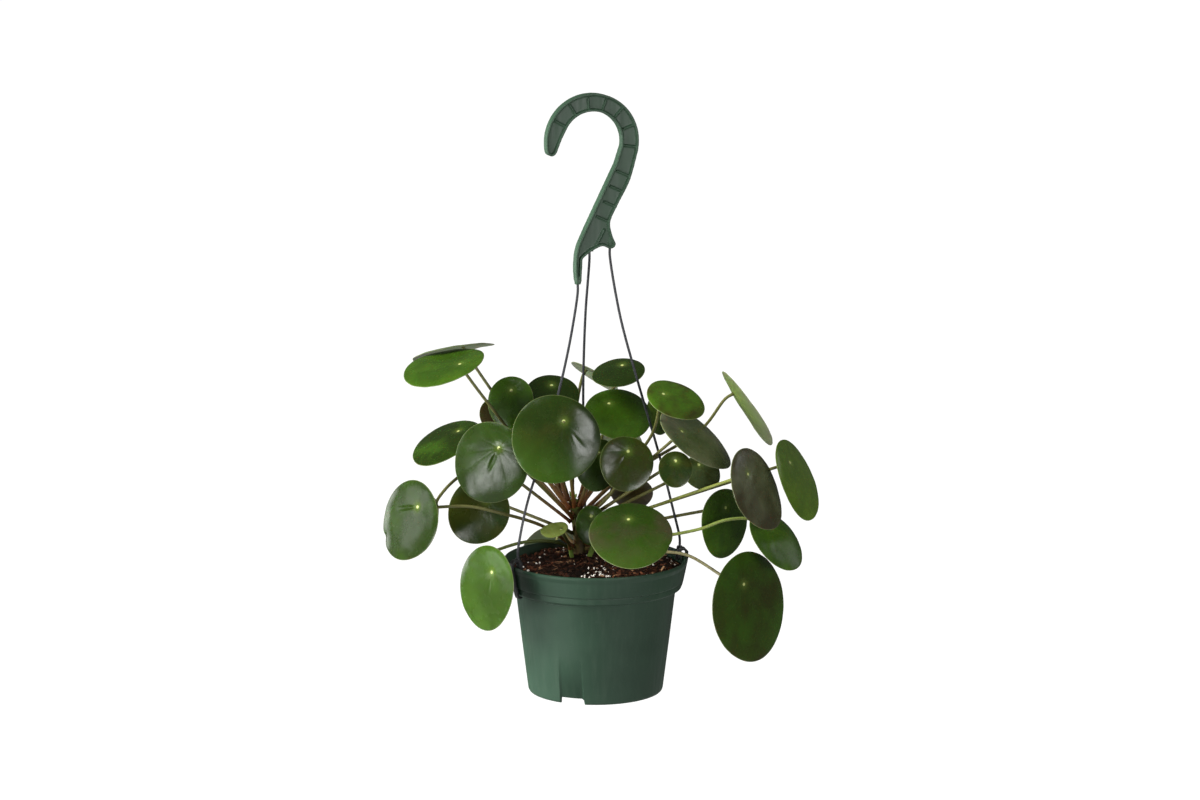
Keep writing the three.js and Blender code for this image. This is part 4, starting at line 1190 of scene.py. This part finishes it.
def clipProfile():
    gap, thick, inner, leg = clip["gap"], clip["thickness"], clip["top"] - 2.4, clip["innerLeg"]
    lip, rim, top = pot["lipRadius"], pot["height"], clip["top"]
    band, bandFoot, groove = pot["bandRadius"], pot["bandBottom"], pot["grooveRadius"]
    low, grooveHeight = bandFoot - gap, pot["grooveHeight"]
    return [
        (lip + gap, rim + 1.5), (lip + gap, rim - 3), (groove + gap + 0.1, grooveHeight),
        (band + gap + 0.1, bandFoot + 1.2), (band - 0.8, low), (band - 3, low), (band - 3, low - 1.4),
        (band + 1.2, low - 1.4), (band + gap + thick, low + 1.6), (groove + gap + thick, grooveHeight),
        (lip + gap + thick, rim - 3), (lip + gap + thick, rim + 3), (lip - 0.6, top), (lip - 6.4, top),
        (lip - 8.4, top - 3), (lip - 8.4, leg), (lip - 6.4, leg), (lip - 4.6, rim - 3),
        (lip - 4.4, rim + 2.8), (lip - 3.2, inner), (lip - 1.4, inner),
    ]


def makeClip(side, material):
    c = clip
    angle = math.radians(c["angles"][side])
    shells = [prism(clipProfile(), -c["width"] / 2, c["width"] / 2, standing)]
    rise = c["mouth"] - c["top"] + 2
    sleeve = [(0, 0), (c["boss"] + 0.5, 0), (c["boss"], rise), (0, rise)]
    shells.append(lathe([(r, c["top"] - 2 + up) for r, up in sleeve], 24, (c["collar"], 0)))
    points, faces = together(shells)

    def turned(p):
        return np.column_stack([p[:, 0] * math.cos(angle) - p[:, 1] * math.sin(angle),
                                p[:, 0] * math.sin(angle) + p[:, 1] * math.cos(angle), p[:, 2]])
    piece = makeMesh(f"rim_clip_{side}", turned(points), faces, (material,))
    melted(piece, c["grain"], c["smooth"])
    cut(piece, borePoints(c["collar"], 0, c["mouth"] - c["depth"], c["mouth"] + 4, turned))
    return finished(piece, "clip", f"clip_{side}")


# Black polypropylene for the clips, with the same moulded satin and rubbed grey on its corners.
def makeBlackPlastic(name, look):
    rub = ((2.6, 5, 0.7), 0.52, 0.72)
    dark, worn = look["colours"]
    gloss = [(*rub, look["roughness"], look["roughness"] + 0.2)]
    return makeFinish(name, dark, [(worn, *rub)], gloss, [(0.8,)], 0.05, IOR=1.49)


makeHook()
wireCoat = makeBlackPlastic("extrudedWireCoat", strand)
clipPlastic = makeBlackPlastic("mouldedBlackClip", clip)
for side in clip["angles"]:
    makeStrand(side, wireCoat)
    makeClip(side, clipPlastic)
print("stage 6: hook, strands and clips")


# A pale floor far below, a soft sun and large soft boxes.
studio = {"drop": 900, "floor": "#fbfbfa", "glow": 0.16, "sky": "#ffffff", "fill": 0.1, "aim": (4, 0, 200)}
keyLight = {"from": (-165, 32), "strength": 5.2, "spread": 40}  # degrees round and up, as the plant sees it
softBoxes = {  # degrees round and up, distance, then width, height and watts of each soft light
    "frontBox": {"from": (-137, -11), "away": 1800, "wide": 640, "high": 480, "watts": 10},
    "leftBox": {"from": (-176, 7), "away": 2600, "wide": 900, "high": 760, "watts": 6.5},
    "rightBox": {"from": (-62, 9), "away": 2600, "wide": 1300, "high": 600, "watts": 28},
    "highBox": {"from": (-138, 38), "away": 2600, "wide": 600, "high": 500, "watts": 5.5},
    "backBox": {"from": (20, 24), "away": 2600, "wide": 700, "high": 700, "watts": 2},
    "edgeBox": {"from": (150, 0), "away": 2600, "wide": 700, "high": 900, "watts": 9},
    "sideFill": {"from": (179, -24), "away": 1500, "wide": 600, "high": 600, "watts": 18, "matt": True},
    "floorBounce": {"from": (-90, -89), "away": 500, "wide": 1500, "high": 1500, "watts": 3},
}


def aimed(name, data, bearing, away):  # a light on a bearing, turned to the plant
    light = bpy.data.objects.new(name, data)
    bpy.context.scene.collection.objects.link(light)
    around, up = bearing
    flat = away * math.cos(math.radians(up))
    spot = np.array(studio["aim"]) + polar(flat, around, away * math.sin(math.radians(up)))
    light.location = toRow(spot)
    toPlant = Vector(toRow(studio["aim"])) - light.location
    light.rotation_euler = toPlant.to_track_quat("-Z", "Y").to_euler()
    return light


def makeStudio():
    size = 40000
    floorMesh = bpy.data.meshes.new("paleFloor")
    corners = [(-size, -size, -studio["drop"]), (size, -size, -studio["drop"]), (size, size, -studio["drop"]),
               (-size, size, -studio["drop"])]
    floorMesh.from_pydata(toRow(corners).tolist(), [], [(0, 1, 2, 3)])
    paper = bpy.data.materials.new("palePaperFloor")  # matt, and lit a little from within to stay pale
    paper.use_nodes = True
    shader = paper.node_tree.nodes["Principled BSDF"].inputs
    shader["Roughness"].default_value = 0.9
    shader["Base Color"].default_value = linear(studio["floor"])
    shader["Emission Color"].default_value = linear(studio["floor"])
    shader["Emission Strength"].default_value = studio["glow"]
    floorMesh.materials.append(paper)
    floor = bpy.data.objects.new("paleFloor", floorMesh)
    bpy.context.scene.collection.objects.link(floor)
    floor.visible_diffuse = False
    floor.visible_glossy = False
    world = bpy.data.worlds.new("paleRoom")
    world.use_nodes = True
    background = world.node_tree.nodes["Background"]
    background.inputs["Color"].default_value = linear(studio["sky"])
    background.inputs["Strength"].default_value = studio["fill"]
    bpy.context.scene.world = world
    bpy.context.scene.view_settings.view_transform = "Standard"  # colours come out as they are mixed
    key = bpy.data.lights.new("keyLight", "SUN")
    key.energy = keyLight["strength"]
    key.angle = math.radians(keyLight["spread"])
    aimed("keyLight", key, keyLight["from"], 2600).visible_glossy = False
    for name, box in softBoxes.items():
        data = bpy.data.lights.new(name, "AREA")
        data.shape = "RECTANGLE"
        data.energy = box["watts"]
        data.size = box["wide"] * mm
        data.size_y = box["high"] * mm
        panel = aimed(name, data, box["from"], box["away"])
        panel.visible_camera = False
        panel.visible_glossy = not box.get("matt", False)


makeStudio()
print("stage 7: room")
